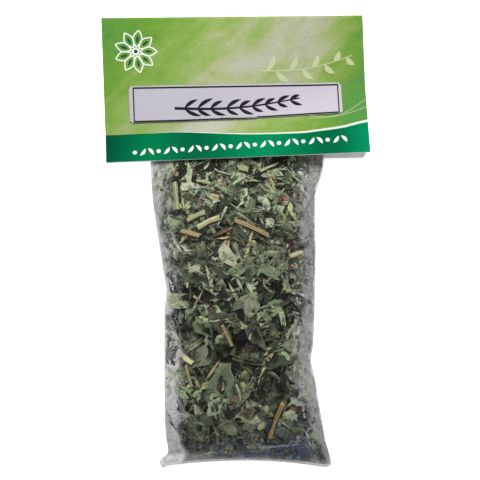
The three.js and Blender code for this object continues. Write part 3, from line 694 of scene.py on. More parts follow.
# Painted light and shade: how light the herb is coloured at a share of the way from the seal to the header
PAINTED_HEIGHT_SHADING = [(0.0, 0.11), (0.08, 0.2), (0.2, 0.6), (0.35, 0.76), (0.6, 0.56), (0.75, 0.66), (0.87, 1.3),
                 (1.0, 1.7)]
LOW_WARMTH = np.array([0.03, 0.04, -0.06])  # what the light gains in red, green and blue towards the seal
# The most red, green or blue that a leaf piece's tint has, at heights in millimetres
PALEST = [(-75, 0.15), (-55, 0.27), (-10, 0.315), (20, 0.36)]
DUST = 0.7  # how grey the pieces at the bag's sides are
UNDER_FILM = 0.5 * MM  # no leaf piece comes nearer to the form's upper or lower side
# How far the herb keeps from the bag's sides, in millimetres: at heights on the left, and on the right
LEFT_GAPS = [(-75, 0.9), (-36, 0.9), (-20, 1.9), (28, 1.9)]
RIGHT_GAP = 0.9
LEAST_GAP = 0.1 * MM

# The layers of leaf pieces. depth and sizes are in millimetres; each layer's lightness factor is partly its
# own tone and partly painted light and shade, darker for the deeper layers and lighter for the top one; and
# beside is how close its pieces come to the bag's sides, as a share of the usual gap.
LAYERS = {
    "leaves_deep": dict(count=760, depth=(2.4, 4.4), sizes=(9, 16), dim=0.75),
    "leaves_middle": dict(count=660, depth=(1.6, 3.6), sizes=(6, 14), dim=0.95),
    "leaves_top": dict(count=690, depth=(0.7, 2.8), sizes=(5, 13), dim=1.15),
    "leaves_back": dict(count=600, depth=(0.8, 3.0), sizes=(6, 15), dim=0.95, top=False),
    "crumbs": dict(count=500, depth=(0.3, 1.6), sizes=(3, 9), dim=0.88, palette=GREY_COLORS, sides_only=True,
                   beside=0.4),
    "straws": dict(count=300, depth=(0.3, 1.2), sizes=(6, 14), dim=0.9, palette=GREY_COLORS, sides_only=True,
                   beside=0.25, slender=True, tilt=0.2),
    # dark scraps as painted shade in the gaps between the leaves
    "gaps": dict(spots=PAINTED_GAP_SHADE_SPOTS, depth=(0.5, 1.0), sizes=(3, 6), dim=0.3, palette=PAINTED_GAP_SHADE_COLORS, tilt=0.2),
    "brown_flecks": dict(spots=BROWN_SPOTS, depth=(0.5, 1.6), sizes=(2.5, 6), dim=0.6, palette=BROWN_COLORS),
    "slivers": dict(count=380, depth=(0.6, 2.2), sizes=(5, 12), dim=1.0, palette=SLIVER_COLORS, slender=True,
                    tilt=0.2),
}

LEAF_ROWS, LEAF_COLUMNS = 16, 7
LEAF_POINTS = LEAF_ROWS * LEAF_COLUMNS
LEAF_UV = np.stack(np.meshgrid(np.linspace(0, 1, LEAF_ROWS), np.linspace(0, 1, LEAF_COLUMNS), indexing="ij"),
                   axis=-1).reshape(-1, 2)
WIDEST_LEAF = 9 * MM


def leaf_faces(count):
    """The faces of some leaf pieces, one after the other."""
    starts = np.arange(count) * LEAF_POINTS
    return (grid_faces(LEAF_ROWS, LEAF_COLUMNS)[None] + starts[:, None, None]).reshape(-1, 4)


def leaf_grid(length, width, cuts, jag, fold, roll, bend, twist, crumple):
    """Points of one dried leaf piece, X along it: a cut stretch of a leaf, folded, rolled and bent."""
    u = np.linspace(0, 1, LEAF_ROWS)[:, None]
    v = np.linspace(-1, 1, LEAF_COLUMNS)[None, :]
    # its outline, with toothed and ragged edges and torn ends
    taper = np.sin(np.pi * np.clip(cuts[0] + (cuts[1] - cuts[0]) * u, 0.015, 0.985)) ** 0.8
    teeth = 1 - jag * (np.arange(LEAF_ROWS) % 2)[:, None] * rng.uniform(0.4, 1, (LEAF_ROWS, 2))
    edge = teeth * (1 + 0.36 * blur(rng.uniform(-1, 1, (LEAF_ROWS, 2)), 1.6, 0))
    reach = np.where(v < 0, edge[:, :1], edge[:, 1:]) * 0.5 * width * taper
    slant = 0.3 * width * rng.uniform(-1, 1, 2)[:, None] * v
    torn = slant + 0.08 * width * rng.uniform(-1, 1, (2, LEAF_COLUMNS))
    x = length * (u - 0.5) + torn[0] * (1 - u) ** 4 + torn[1] * u ** 4
    # folded along its rib, rolled up across it and crumpled
    angle = roll * v * (0.7 + 0.6 * u)
    y = reach * np.sinc(angle / np.pi) * v
    z = reach * np.abs(v) * (fold + (1 - np.cos(angle)) / (np.abs(angle) + 1e-6))
    z = z + crumple * width * blur(blur(rng.uniform(-1, 1, x.shape), 1.0, 0), 0.6, 1)
    # bent along an arc, and twisted
    arc = bend * 2 * (u - 0.5)
    x, z = x * np.sinc(arc / np.pi) - z * np.sin(arc), z * np.cos(arc) + x * np.sin(arc / 2)
    turn = twist * (u - 0.5)
    return np.stack([x, y * np.cos(turn) - z * np.sin(turn), y * np.sin(turn) + z * np.cos(turn)],
                    axis=-1).reshape(-1, 3)


def random_leaf(length, breadth, slender):
    """One leaf piece of a given length: nearly flat, folded or rolled up."""
    width = length * (rng.uniform(0.1, 0.2) if slender else breadth * rng.uniform(0.34, 0.85))
    start = rng.choice([0.0, 0.12, 0.3])
    end = min(1.0, start + rng.uniform(0.5, 1.0))
    chance = rng.random()
    if chance < 0.4:
        fold, roll = rng.uniform(-0.1, 0.3), rng.uniform(0.1, 0.9)
    elif chance < 0.7:
        fold, roll = rng.uniform(0.3, 1.0), rng.uniform(0.1, 0.8)
    else:
        fold, roll = 0.0, rng.uniform(1.5, 2.9)
    if slender:
        fold, roll = 0.3, 0.4
    jag = 0.0 if slender else rng.choice([0.0, 0.0, 0.08, 0.16])
    leaf = leaf_grid(length, min(width, WIDEST_LEAF), (start, end), jag, fold, roll,
                     rng.uniform(-0.7, 0.7), rng.uniform(-1.0, 1.0), rng.uniform(0.2, 0.6))
    if rng.random() < 0.5:
        leaf[:, 2] *= -1
    return leaf


def random_turn(normal, tilt):
    """A rotation whose Z starts on the normal, is spun about it and then tilted by about so much."""
    spin, lean, lean_axis = rng.uniform(0, FULL_TURN), abs(rng.normal(0, tilt)), rng.uniform(0, FULL_TURN)
    upright = Vector(normal).to_track_quat("Z", "Y").to_matrix() @ Matrix.Rotation(spin, 3, "Z")
    axis = Vector((math.cos(lean_axis), math.sin(lean_axis), 0))
    return np.array(upright @ Matrix.Rotation(lean, 3, axis))


def press_inside(points, beside):
    """Pushes points that would pass through the film back inside it, and gives how far under it they lie."""
    ys = np.clip(points[:, 1], FORM_START + 0.8 * MM, HERB_HIGH[1])
    left, right = form_sides(ys)
    middle, half = (left + right) / 2, (right - left) / 2
    wander = np.sin(ys / MM * 0.31) + 0.7 * np.sin(ys / MM * 0.83 + 1) + 0.4 * np.sin(ys / MM * 2.1)
    gap = np.where(points[:, 0] < middle, look_up(LEFT_GAPS, ys / MM), RIGHT_GAP)
    reach = half - np.maximum((beside * gap + 0.2 * wander) * MM, LEAST_GAP)
    x = middle + np.clip((points[:, 0] - middle) / reach, -1, 1) * reach
    angle = np.arccos(np.clip((x - middle) / half, -1, 1))
    top = form_point(ys, angle)[:, 2] - UNDER_FILM
    under = form_point(ys, -angle)[:, 2] + UNDER_FILM
    middle_z = (top + under) / 2
    z = np.clip(points[:, 2], np.minimum(under, middle_z), np.maximum(top, middle_z))
    return np.stack([x, ys, z], axis=-1), UNDER_FILM + np.minimum(top - z, z - under)


def stem_axis(name):
    """The two ends and the radius of a stem bit of the frame."""
    points = node_points(name)
    centre = points.mean(axis=0)
    direction = np.linalg.svd(points - centre)[2][0]
    along = (points - centre) @ direction
    off = points - centre - along[:, None] * direction
    start, end = (centre + direction * reach for reach in (along.min(), along.max()))
    return start, end, np.linalg.norm(off, axis=1).max()


STEM_AXES = {name: stem_axis(name) for name in sorted(frame["nodes"]) if name.startswith("stem_bit_")}
STEM_ROOM = 1.15  # the herb keeps this many radii from a stem's axis
LEAST_SINK = 0.3  # and beside the stem it stays this many radii below the axis,
STEM_MARGIN = 0.8 * MM  # up to this far out


def clear_of_stems(points):
    """Presses leaf points down where a stem bit of the frame lies over them."""
    for start, end, radius in STEM_AXES.values():
        along = end - start
        t = np.clip(((points - start) @ along) / (along @ along), 0, 1)
        axis = start + t[:, None] * along
        off = np.linalg.norm((points - axis)[:, :2], axis=1)
        room = STEM_ROOM * radius
        sink = np.sqrt(np.clip(room ** 2 - off ** 2, 0, None))
        limit = axis[:, 2] - np.maximum(LEAST_SINK * radius, sink)
        under = off < room + STEM_MARGIN
        points[under, 2] = np.minimum(points[under, 2], limit[under])
    return points


def scatter(count, top, sides_only):
    """Heights and angles on the bag's form for a layer of pieces, and how far up the herb they are."""
    up = rng.random(count)
    # denser towards the header, where the pieces are smaller, and again right at the header and at the seal
    up = np.where(rng.random(count) < 0.55, 1 - 0.42 * up, up)
    up = np.where(rng.random(count) < 0.17, 1 - 0.18 * rng.random(count), up)
    up = np.where(rng.random(count) < 0.06, 0.05 * rng.random(count), up)
    ys = HERB_LOW[1] + 1.0 * MM + up * (HERB_HIGH[1] - HERB_LOW[1] - 2.0 * MM)
    # spaced evenly across the bag's width, with some more at its sides
    angles = np.where(rng.random(count) < 0.85, np.arccos(rng.uniform(-0.98, 0.98, count)),
                      rng.uniform(0.05, np.pi - 0.05, count)) * (1 if top else -1)
    if sides_only:
        angles = np.where(rng.random(count) < 0.5, rng.uniform(0.1, 0.75, count),
                          np.pi - rng.uniform(0.12, 0.7, count))
    return ys, angles, up


def gather(spots):
    """Heights and angles on the bag's upper face round some spots, and how far up the herb they are."""
    centres = np.repeat(np.array(spots)[:, :3] * MM, [spot[3] for spot in spots], axis=0)
    places = centres[:, :2] + rng.normal(0, 0.5, (len(centres), 2)) * centres[:, 2:]
    ys = np.clip(places[:, 1], HERB_LOW[1] + 1.5 * MM, HERB_HIGH[1] - 1.5 * MM)
    up = (ys - HERB_LOW[1]) / (HERB_HIGH[1] - HERB_LOW[1])
    return ys, angle_over(places[:, 0], ys, most=0.95), up


def make_leaves(name, depth, sizes, dim, count=0, spots=None, palette=LEAF_COLORS, top=True, sides_only=False,
                beside=1.0, slender=False, tilt=0.45):
    """A layer of leaf pieces laid under the film, all over one face, at its sides, or round some spots."""
    ys, angles, up = gather(spots) if spots else scatter(count, top, sides_only)
    count = len(ys)
    shares, tints = (np.array(column) for column in zip(*palette))
    picks = rng.choice(len(tints), count, p=shares / shares.sum())
    surface, normals = form_point(ys, angles), form_normal(ys, angles)
    # the herb is chopped finer near the header and coarser near the seal, and is coloured lighter near the
    # header and darker near the seal as painted light and shade
    coarse = 1.25 - 0.75 * up
    # light is each layer's tone with painted light and shade for its height
    light = dim * look_up(PAINTED_HEIGHT_SHADING, up) ** (0.5 if sides_only else 1)
    light = light[:, None] * (1 + LOW_WARMTH * (1 - smoothstep(up / 0.8))[:, None])
    dust = DUST * smoothstep((np.abs(np.cos(angles)) - 0.7) / 0.2)
    points, colors = [], []
    for i in range(count):
        blade = random_leaf(rng.uniform(*sizes) * MM * coarse[i], 1.1 - 0.4 * up[i], slender)
        turn = random_turn(normals[i], tilt)
        from_hollow = (surface[i, :2] - HOLLOW_PLACE) / HOLLOW_SIZE
        hollow = HOLLOW_STRENGTH * math.exp(-from_hollow @ from_hollow)
        place = surface[i] - normals[i] * (rng.uniform(*depth) * MM + HOLLOW_DEPTH * hollow)
        points.append(blade @ turn.T + place)
        tint = tints[picks[i]] * np.clip(rng.lognormal(0.0, 0.95 - 0.4 * up[i]), 0.12, 1.9) * light[i]
        tint = tint * (1 - hollow) + HOLLOW_COLOR * hollow
        tint = tint + dust[i] * (tint.mean() - tint)
        fade = 1 + rng.uniform(-0.25, 0.25) * (LEAF_UV[:, :1] - 0.5)
        colors.append(np.concatenate([tint * fade, np.ones((LEAF_POINTS, 1))], axis=1))
    points, depths = press_inside(np.concatenate(points), beside)
    colors = np.concatenate(colors)
    # the painted shade deepens faster with depth near the seal, so the hollows between the leaves look deeper
    # there
    contrast = np.repeat(2.0 - smoothstep(up / 0.85), LEAF_POINTS)
    colors[:, :3] *= (look_up(PAINTED_DEPTH_SHADING, depths / MM) ** contrast)[:, None]
    palest = look_up(PALEST, points[:, 1] / MM)
    colors[:, :3] *= np.minimum(1, palest / colors[:, :3].max(axis=1))[:, None]
    make_piece(name, bow_seal(clear_of_stems(points)), leaf_faces(count), materials["leaf"],
               "tarragon_leaves", uvs=np.tile(LEAF_UV, (count, 1)), colors=colors)


CORE_ROWS, CORE_SIDES = 60, 48
CORE_INSET = 4.9 * MM
CORE_WAVES, CORE_WAVE_SIZE = 0.8 * MM, 4 * MM


def make_core():
    """The shaded middle of the herb, seen only through gaps between the leaf pieces."""
    ys, angles = np.meshgrid(np.linspace(HERB_LOW[1] + 2 * MM, HERB_HIGH[1] - 2 * MM, CORE_ROWS),
                             FULL_TURN * np.arange(CORE_SIDES) / CORE_SIDES, indexing="ij")
    top, bottom = (form_point(ys, np.full_like(ys, angle)) for angle in (np.pi / 2, -np.pi / 2))
    points = form_point(ys, angles)
    uneven = waves(points.reshape(-1, 3), CORE_WAVE_SIZE, 5, 2).reshape(ys.shape)
    inset = CORE_INSET + CORE_WAVES * uneven
    toward = (top + bottom) / 2 - points
    distance = np.linalg.norm(toward, axis=-1, keepdims=True)
    points = points + toward / distance * np.minimum(inset[..., None], distance * 0.8)
    make_piece("herb_core", bow_seal(points).reshape(-1, 3), grid_faces(CORE_ROWS, CORE_SIDES, wrap=True),
               materials["core"], "tarragon_leaves")


# ---- stems and brown bits

STEM_COLORS = {"straw": srgb(198, 196, 152), "olive": srgb(158, 162, 124), "tan": srgb(162, 146, 106)}
LOW_STEM_COLOR = srgb(166, 134, 72)
LOW_STEM = -50 * MM  # a stem bit that starts below this is ochre
CUT_COLOR = srgb(196, 184, 140)
PITH_COLOR = srgb(150, 130, 90)
STEM_ROWS, STEM_SIDES = 22, 20
BROWN_BIT_COLORS = [
    srgb(96, 66, 54), srgb(122, 82, 58), srgb(98, 68, 56), srgb(158, 82, 78),
    srgb(66, 52, 44), srgb(92, 64, 52), srgb(120, 84, 76), srgb(134, 94, 62),
]
BROWN_BLADES = 3
BLADE_STEP = 0.12 * MM


def make_stem(node, start, end, radius, color):
    """A cut bit of stem: ribbed along its length, slightly crooked, paler at its cut ends."""
    axis = Vector(end - start)
    t = np.linspace(0, 1, STEM_ROWS)[:, None]
    angle = FULL_TURN * np.arange(STEM_SIDES) / STEM_SIDES
    ribs = 1 + 0.09 * np.cos(5 * angle) + 0.05 * rng.uniform(-1, 1, STEM_SIDES)
    crook = blur(rng.uniform(-1, 1, (STEM_ROWS, 2)), 4, 0) * radius * 0.9
    ring = radius * (0.94 + 0.06 * np.cos(t * 9 + rng.uniform(0, 6))) * ribs
    slant = np.zeros((STEM_ROWS, 1))
    slant[0], slant[-1] = rng.uniform(-0.5, 0.5, 2)
    z = t * axis.length + slant * ring * np.cos(angle)
    local = np.stack([ring * np.cos(angle) + crook[:, :1], ring * np.sin(angle) + crook[:, 1:], z], axis=-1)
    pith = np.array([0, 0, 0.25 * radius])
    caps = [local[0].mean(axis=0) + pith, local[-1].mean(axis=0) - pith]
    turn = np.array(axis.to_track_quat("Z", "Y").to_matrix())
    points = np.concatenate([local.reshape(-1, 3), caps]) @ turn.T + start
    faces = grid_faces(STEM_ROWS, STEM_SIDES, wrap=True)[:, ::-1].tolist()
    count = STEM_ROWS * STEM_SIDES
    last = count - STEM_SIDES
    for i in range(STEM_SIDES):
        after = (i + 1) % STEM_SIDES
        faces += [[i, after, count], [last + after, last + i, count + 1]]
    tint = np.array(color) * rng.uniform(0.85, 1.15)
    stripes = 0.5 + 0.8 * rng.random(STEM_SIDES)
    shade = np.tile(stripes[:, None] * tint, (STEM_ROWS, 1, 1))
    shade[0] = shade[-1] = CUT_COLOR
    shade = np.concatenate([shade.reshape(-1, 3), [PITH_COLOR, PITH_COLOR]])
    make_piece("fine_" + node, points, faces, materials["stem"], node,
               colors=np.concatenate([shade, np.ones((len(shade), 1))], axis=1))


def make_stems():
    slots = {entry["node"]: entry["material_slot"] for entry in frame["record"]["subparts"]}
    for node, (start, end, radius) in STEM_AXES.items():
        color = LOW_STEM_COLOR if start[1] < LOW_STEM else STEM_COLORS[slots[node].replace("stem_", "")]
        make_stem(node, start, end, radius, color)


def make_brown_bits():
    """Each brown bit as a few crumpled blades on top of each other, in the place and size of the frame's."""
    nodes = sorted(name for name in frame["nodes"] if name.startswith("brown_bit_"))
    for node, color in zip(nodes, BROWN_BIT_COLORS):
        points = node_points(node)
        centre = points.mean(axis=0)
        axes = np.linalg.svd(points - centre)[2]
        length, width = (np.ptp((points - centre) @ axis) for axis in axes[:2])
        if axes[2][2] < 0:
            axes[2] = -axes[2]
        axes[1] = np.cross(axes[2], axes[0])
        blades, colors = [], []
        for layer in range(BROWN_BLADES):
            blade = leaf_grid(length * rng.uniform(0.7, 1), width * rng.uniform(0.6, 1), cuts=(0.1, 0.9),
                              jag=0.35, fold=0.2, roll=0.8, bend=0.06, twist=rng.uniform(-0.5, 0.5),
                              crumple=0.1)
            spin = Matrix.Rotation(rng.uniform(-0.7, 0.7), 3, "Z")
            blades.append(blade @ np.array(spin).T @ axes + centre + axes[2] * layer * BLADE_STEP)
            tint = np.array(color) * rng.uniform(0.7, 1.3)
            colors.append(np.tile(np.append(tint, 1), (len(blade), 1)))
        make_piece("fine_" + node, np.concatenate(blades), leaf_faces(BROWN_BLADES), materials["leaf"], node,
                   colors=np.concatenate(colors))


# ---- the header card

def on_header(across, down, z):
    """From the header's own axes, across it and down from its fold, to the packet's."""
    y = CARD_LEAF / 2 - down
    across = across - CARD_LEAN * y
    return np.stack([
        CARD_MIDDLE[0] + across * np.cos(CARD_TURN) - y * np.sin(CARD_TURN),
        CARD_MIDDLE[1] + across * np.sin(CARD_TURN) + y * np.cos(CARD_TURN),
        z + 0 * across,
    ], axis=-1)


LIFT_STEPS = 24


def on_front_leaf(across, down, above):
    """A point above the front leaf's inner face. The full bag lifts the leaf beyond a slanting line."""
    across, down, above = np.broadcast_arrays(across, down, above)
    start = LIFT_START - LIFT_SLANT * across / (CARD_WIDTH / 2)
    step = down / LIFT_STEPS
    rise, run = np.zeros(across.shape), np.zeros(across.shape)
    for i in range(LIFT_STEPS):
        slope = CARD_LIFT * smoothstep(((i + 0.5) * step - start) / LIFT_REACH)
        rise = rise + np.sin(slope) * step
        run = run + np.cos(slope) * step
    slope = CARD_LIFT * smoothstep((down - start) / LIFT_REACH)
    z = CARD_UNDERSIDE + CARD_THICK + CARD_GAP + rise + above * np.cos(slope)
    return on_header(across, run - above * np.sin(slope), z)


CARD_COLUMNS = 73
BACK_ROWS, FOLD_ROWS, FRONT_ROWS = 40, 16, 66
FOLD_SHARE = 0.004  # the fold takes its colour from this share of the way down the print


def card_sheet():
    """The folded card as rows of points, from the back leaf's lower edge round the fold to the front
    leaf's: its outer face, its inner face, and each point's shares across and down the print."""
    fold = CARD_GAP / 2
    middle = CARD_UNDERSIDE + CARD_THICK + fold
    u = np.linspace(-0.5, 0.5, CARD_COLUMNS)
    across = u * CARD_WIDTH
    outer, inner, uvs = [], [], []
    # the back leaf's lower corners are rounded
    from_corner = np.clip(CARD_CORNER - (CARD_WIDTH / 2 - np.abs(across)), 0, CARD_CORNER)
    lowest = BACK_LEAF - CARD_CORNER + np.sqrt(CARD_CORNER ** 2 - from_corner ** 2)
    for reach in np.linspace(BACK_LEAF, fold, BACK_ROWS):
        down = np.minimum(reach, lowest)
        outer.append(on_header(across, down, CARD_UNDERSIDE))
        inner.append(on_header(across, down, CARD_UNDERSIDE + CARD_THICK))
        uvs.append(np.stack([0.5 - u, down / CARD_LEAF], axis=-1))
    for angle in np.linspace(0, np.pi, FOLD_ROWS)[1:-1]:
        for face, radius in ((outer, fold + CARD_THICK), (inner, fold)):
            down = np.full_like(u, fold - radius * np.sin(angle))
            face.append(on_header(across, down, middle - radius * np.cos(angle)))
        uvs.append(np.stack([u + 0.5, np.full_like(u, FOLD_SHARE)], axis=-1))
    for down in np.linspace(fold, CARD_LEAF, FRONT_ROWS):
        outer.append(on_front_leaf(across, down, CARD_THICK))
        inner.append(on_front_leaf(across, down, 0))
        uvs.append(np.stack([u + 0.5, np.full_like(u, down / CARD_LEAF)], axis=-1))
    return np.array(outer), np.array(inner), np.array(uvs)


def make_header():
    """The card's printed face, and its white inside with the cut edges."""
    outer, inner, uvs = card_sheet()
    rows, columns = outer.shape[:2]
    count = rows * columns
    quads = grid_faces(rows, columns)
    make_piece("card_print", outer.reshape(-1, 3), quads[:, ::-1], materials["print"], "header_card",
               uvs=uvs.reshape(-1, 2))
    edges = [[after, here, here + count, after + count] for here, after in grid_rim(rows, columns)]
    points = np.concatenate([inner.reshape(-1, 3), outer.reshape(-1, 3)])
    make_piece("card_inside", points, quads.tolist() + edges, materials["card_paper"], "header_card",
               smooth=False)


# ---- the name strip and the printed ornament

STRIP_ROWS, STRIP_COLUMNS = 16, 90
STRIP_WAVE = 0.08 * MM  # the strip's upper edge isn't quite straight


def on_strip(right, down, above=0.0):
    """A point on the name strip's face, from its middle top, in metres across and down."""
    return on_front_leaf(right + STRIP_SHIFT, STRIP_TOP + down - STRIP_SKEW * right / 2,
                         CARD_THICK + STRIP_GAP + STRIP_THICK + above)


def strip_height(right):
    return STRIP_HEIGHT - STRIP_SKEW * right


def make_strip():
    u = np.linspace(-0.5, 0.5, STRIP_COLUMNS) * STRIP_WIDTH
    from_corner = np.clip(STRIP_CORNER - (STRIP_WIDTH / 2 - np.abs(u)), 0, STRIP_CORNER)
    cut = STRIP_CORNER - np.sqrt(STRIP_CORNER ** 2 - from_corner ** 2)
    top = cut + STRIP_WAVE * np.sin(u / MM * 0.35)
    bottom = strip_height(u) - 0.6 * cut
    down = top + np.linspace(0, 1, STRIP_ROWS)[:, None] * (bottom - top)
    across = np.broadcast_to(u, down.shape)
    points = np.concatenate([on_strip(across, down, above).reshape(-1, 3) for above in (0, -STRIP_THICK)])
    count = STRIP_ROWS * STRIP_COLUMNS
    quads = grid_faces(STRIP_ROWS, STRIP_COLUMNS)
    rim = grid_rim(STRIP_ROWS, STRIP_COLUMNS)
    edges = [[here, after, after + count, here + count] for here, after in rim]
    faces = np.concatenate([quads[:, ::-1], quads + count]).tolist() + edges
    make_piece("strip", points, faces, materials["strip"], "name_strip", smooth=False)


INK_LIFT = 0.06 * MM
INK_STEP = 0.002 * MM
DOT_SIDES = 16
LEAF_STEPS = 12


def stroke(start, end, bow, count=16):
    """Points of a slightly bowed pen stroke."""
    start, end = np.array(start), np.array(end)
    t = np.linspace(0, 1, count)[:, None]
    along = end - start
    return start + t * along + bow * np.sin(np.pi * t) * np.array([-along[1], along[0]])


def ray(angle):
    return np.array([math.cos(angle), math.sin(angle)])


class Ink:
    """Flat printed marks, each a ribbon, a leaf shape or a dot, laid on a face by a placing function."""

    def __init__(self, place):
        self.place = place
        self.points = []
        self.lifts = []
        self.faces = []

    def mark(self, points, faces):
        """Adds a mark, a hair over the last one, so that no two lie in one plane."""
        start = len(self.points)
        lift = (self.lifts[-1] if self.lifts else 0) + INK_STEP
        self.points += points
        self.lifts += [lift] * len(points)
        self.faces += [[start + corner for corner in face] for face in faces]

    def ribbon(self, line, widths):
        """A stroke along points (across, down), with a width at each."""
        line = np.array(line)
        widths = np.broadcast_to(widths, len(line))
        direction = np.gradient(line, axis=0)
        direction /= np.linalg.norm(direction, axis=1, keepdims=True) + 1e-12
        side = np.stack([-direction[:, 1], direction[:, 0]], axis=-1) * widths[:, None] / 2
        edges = [point for pair in zip(line + side, line - side) for point in pair]
        self.mark(edges, [[i, i + 1, i + 3, i + 2] for i in range(0, 2 * len(line) - 2, 2)])

    def leaf(self, root, tip, width, bow=0.0):
        """A filled narrow leaf from root to tip."""
        along = np.clip(np.linspace(0, 1, LEAF_STEPS), 0.03, 0.97)
        self.ribbon(stroke(root, tip, bow, LEAF_STEPS), width * np.sin(np.pi * along) ** 0.8)

    def dot(self, centre, radius):
        centre = np.array(centre)
        rim = [centre + radius * ray(angle) for angle in FULL_TURN * np.arange(DOT_SIDES) / DOT_SIDES]
        self.mark([centre] + rim, [[0, 1 + (i + 1) % DOT_SIDES, 1 + i] for i in range(DOT_SIDES)])

    def make(self, name, material):
        points = self.place(*np.array(self.points).T)
        points[:, 2] += self.lifts
        make_piece(name, points, self.faces, material, smooth=False)


def card_ink(lift=1.0):
    """Ink on the header's printed face, at a share of the usual lift."""
    return Ink(lambda across, down: on_front_leaf(across, down, CARD_THICK + lift * INK_LIFT))


def make_strip_marks():
    """The strip's dark border line, and a pen-drawn narrow-leaved sprig along its middle."""
    ink = Ink(lambda across, down: on_strip(across, down, INK_LIFT))
    left, right, top = -STRIP_WIDTH / 2 + 1.5 * MM, STRIP_WIDTH / 2 - 1.2 * MM, 0.75 * MM
    line, side_line = 0.55 * MM, 0.42 * MM
    across = np.linspace(left, right, 60)
    for down in (np.full(60, top), strip_height(across) - 0.34 * MM):
        ink.ribbon(np.stack([across, down], axis=-1), line)
    for x in (left, right):
        ink.ribbon(stroke((x, top - line / 2), (x, strip_height(x) - 0.13 * MM), 0, 8), side_line)
    # the sprig: one long stem, with pairs of narrow leaves that shorten towards its tip
    stem = stroke((-21 * MM, 7.9 * MM), (22 * MM, 5.2 * MM), 0.035, 40)
    ink.ribbon(stem, np.linspace(0.95, 0.45, 40) * MM)
    for i, t in enumerate(np.linspace(0.1, 0.93, 9)):
        root = stem[int(t * 39)]
        side = -1 if i % 2 else 1
        for flip, share in ((side, 1), (-side, 0.82)):
            tip = root + share * (7.0 - 2.6 * t) * MM * ray(flip * math.radians(34 - 8 * t))
            tip[1] = np.clip(tip[1], 1.9 * MM, 10.6 * MM)
            ink.leaf(root, tip, 1.25 * MM, flip * 0.08)
    ink.make("strip_marks", materials["ink"])


def make_band_marks():
    """The dark band's white ornament: dots and small pairs of leaves."""
    ink = card_ink()
    for i, across in enumerate(np.linspace(-35, 36.5, 27) * MM):
        middle = (45.6 - 1.3 * across / (CARD_WIDTH / 2)) * MM
        if i % 3 == 0:
            ink.dot((across, middle), 0.75 * MM)
            continue
        lean = 0.9 * MM if i % 3 == 1 else -0.9 * MM
        ink.leaf((across - lean, middle + 1.25 * MM), (across + lean, middle - 1.25 * MM), 1.15 * MM, 0.1)
    ink.make("band_marks", materials["white_ink"])


def make_corner_marks():
    """A plain round flower printed in the header's upper left corner."""
    white, dark = card_ink(), card_ink(1.8)
    centre = np.array([-33.5, 11.5]) * MM
    for angle in FULL_TURN * np.arange(9) / 9:
        out = ray(angle) * MM
        for bow in (-0.26, 0.26):
            white.ribbon(stroke(centre + 1.5 * out, centre + 7.4 * out, bow), 0.42 * MM)
        dark.leaf(centre + 3.0 * out, centre + 5.6 * out, 0.9 * MM)
    white.dot(centre, 1.3 * MM)
    dark.dot(centre, 0.7 * MM)
    white.make("corner_marks", materials["white_ink"])
    dark.make("corner_marks_dark", materials["green_ink"])


def make_faint_marks():
    """Faint pale leaves and thin swooshes printed over the wash."""
    ink = card_ink(0.7)
    stem = stroke((9 * MM, 18.5 * MM), (41 * MM, 13.5 * MM), 0.06, 30)
    ink.ribbon(stem, np.linspace(0.5, 0.25, 30) * MM)
    for i, t in enumerate(np.linspace(0.08, 0.95, 8)):
        root = stem[int(t * 29)]
        ink.leaf(root, root + (6.2 - 2.6 * t) * MM * ray(math.radians(43 if i % 2 else -61)), 1.9 * MM, 0.1)
    for start, end, bow in (((21, 33.5), (44.5, 29.7), 0.17), ((25, 36), (44.6, 32.6), 0.06)):
        ink.ribbon(stroke(np.array(start) * MM, np.array(end) * MM, bow, 30), 0.22 * MM)
    ink.make("faint_marks", materials["faint_ink"])


# ---- the staple

def finish_staple():
    """The frame's staple is already fine enough: it only takes the steel's look."""
    mesh = frame["nodes"]["staple"].data
    mesh.materials.clear()
    mesh.materials.append(steel_material())
    mesh.shade_smooth()


# ---- the studio

FLOOR_REACH = 3.0
FLOOR_DROP = 0.2 * MM
CAMERA_PLACE = (1.51 * MM, 0.58 * MM, 0.5)
SENSOR = 36
FRAMED_WIDTH = 164.9 * MM  # what the frame takes in, in the plane at FRAMED_HEIGHT
FRAMED_HEIGHT = 4 * MM


def make_floor():
    glow = {"Specular IOR Level": 0.0, "Emission Color": (1, 1, 1), "Emission Strength": 0.65}
    material = Shader("floor").principled((0.94, 0.94, 0.945), 0.95, glow)
    corners = [(-1, -1), (1, -1), (1, 1), (-1, 1)]
    points = [(x * FLOOR_REACH, y * FLOOR_REACH, -FLOOR_DROP) for x, y in corners]
    make_object("floor", points, [[0, 1, 2, 3]], material, smooth=False)


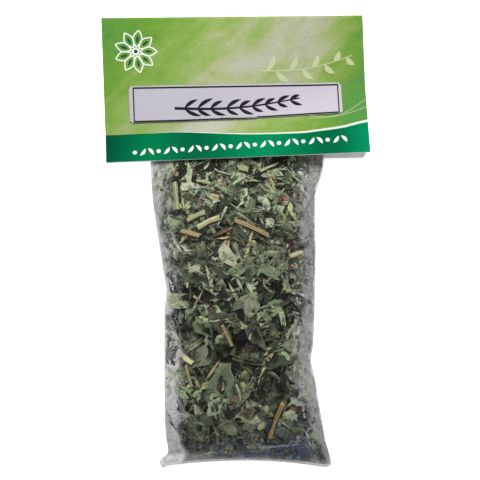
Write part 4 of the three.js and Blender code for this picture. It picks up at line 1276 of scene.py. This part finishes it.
def add_lamp(name, place, size, power, color):
    """A square lamp that faces the packet."""
    light = bpy.data.lights.new(name, "AREA")
    light.size = size
    light.energy = power
    light.color = color
    lamp = add_object(name, light)
    lamp.location = place
    lamp.rotation_euler = (-Vector(place)).to_track_quat("-Z", "Y").to_euler()
    return lamp


def make_lights():
    """A soft key light from behind, a small glint, and a blue window that shows only in reflections."""
    world = bpy.data.worlds.new("studio")
    world.use_nodes = True
    background = world.node_tree.nodes["Background"]
    background.inputs["Color"].default_value = (0.97, 0.985, 1, 1)
    background.inputs["Strength"].default_value = 0.38
    bpy.context.scene.world = world
    key = add_lamp("key", (-0.12, 0.52, 0.88), size=0.4, power=14.7, color=(1, 0.99, 0.97))
    key.visible_glossy = False
    add_lamp("glint", (0.35, 0.5, 0.7), size=0.05, power=0.25, color=(0.9, 0.95, 1))
    window = add_lamp("window", (0.25, -0.75, 0.32), size=0.4, power=0.9, color=(0.3, 0.42, 1))
    window.visible_diffuse = False


def make_camera():
    """Straight above the packet, at arm's length."""
    lens = bpy.data.cameras.new("camera")
    lens.sensor_width = SENSOR
    lens.lens = SENSOR * (CAMERA_PLACE[2] - FRAMED_HEIGHT) / FRAMED_WIDTH
    lens.clip_end = 20
    camera = add_object("camera", lens)
    camera.location = CAMERA_PLACE
    bpy.context.scene.camera = camera
    bpy.context.scene.view_settings.view_transform = "Standard"


# ---- assembly

materials = {
    "leaf": leaf_material(),
    "core": core_material(),
    "stem": stem_material(),
    "crease": crease_material(),
    "print": card_material(),
    # painted light: the card's white side is coloured brighter than the other whites, to lighten the back
    # leaf in the front leaf's shade
    "card_paper": paper_material("card's white side", (0.76, 0.78, 0.78)),
    "strip": strip_material(),
    "ink": paper_material("dark ink", srgb(34, 30, 38), 0.6),
    "white_ink": paper_material("white print", srgb(244, 247, 244), 0.5),
    "faint_ink": paper_material("faint print", srgb(192, 203, 158), 0.6),
    "green_ink": paper_material("dark green print", srgb(10, 92, 62), 0.5),
}
make_film()
make_creases()
make_core()
for name, layer in LAYERS.items():
    make_leaves(name, **layer)
make_stems()
make_brown_bits()
make_header()
make_strip()
make_strip_marks()
make_band_marks()
make_corner_marks()
make_faint_marks()
finish_staple()
make_floor()
make_lights()
make_camera()
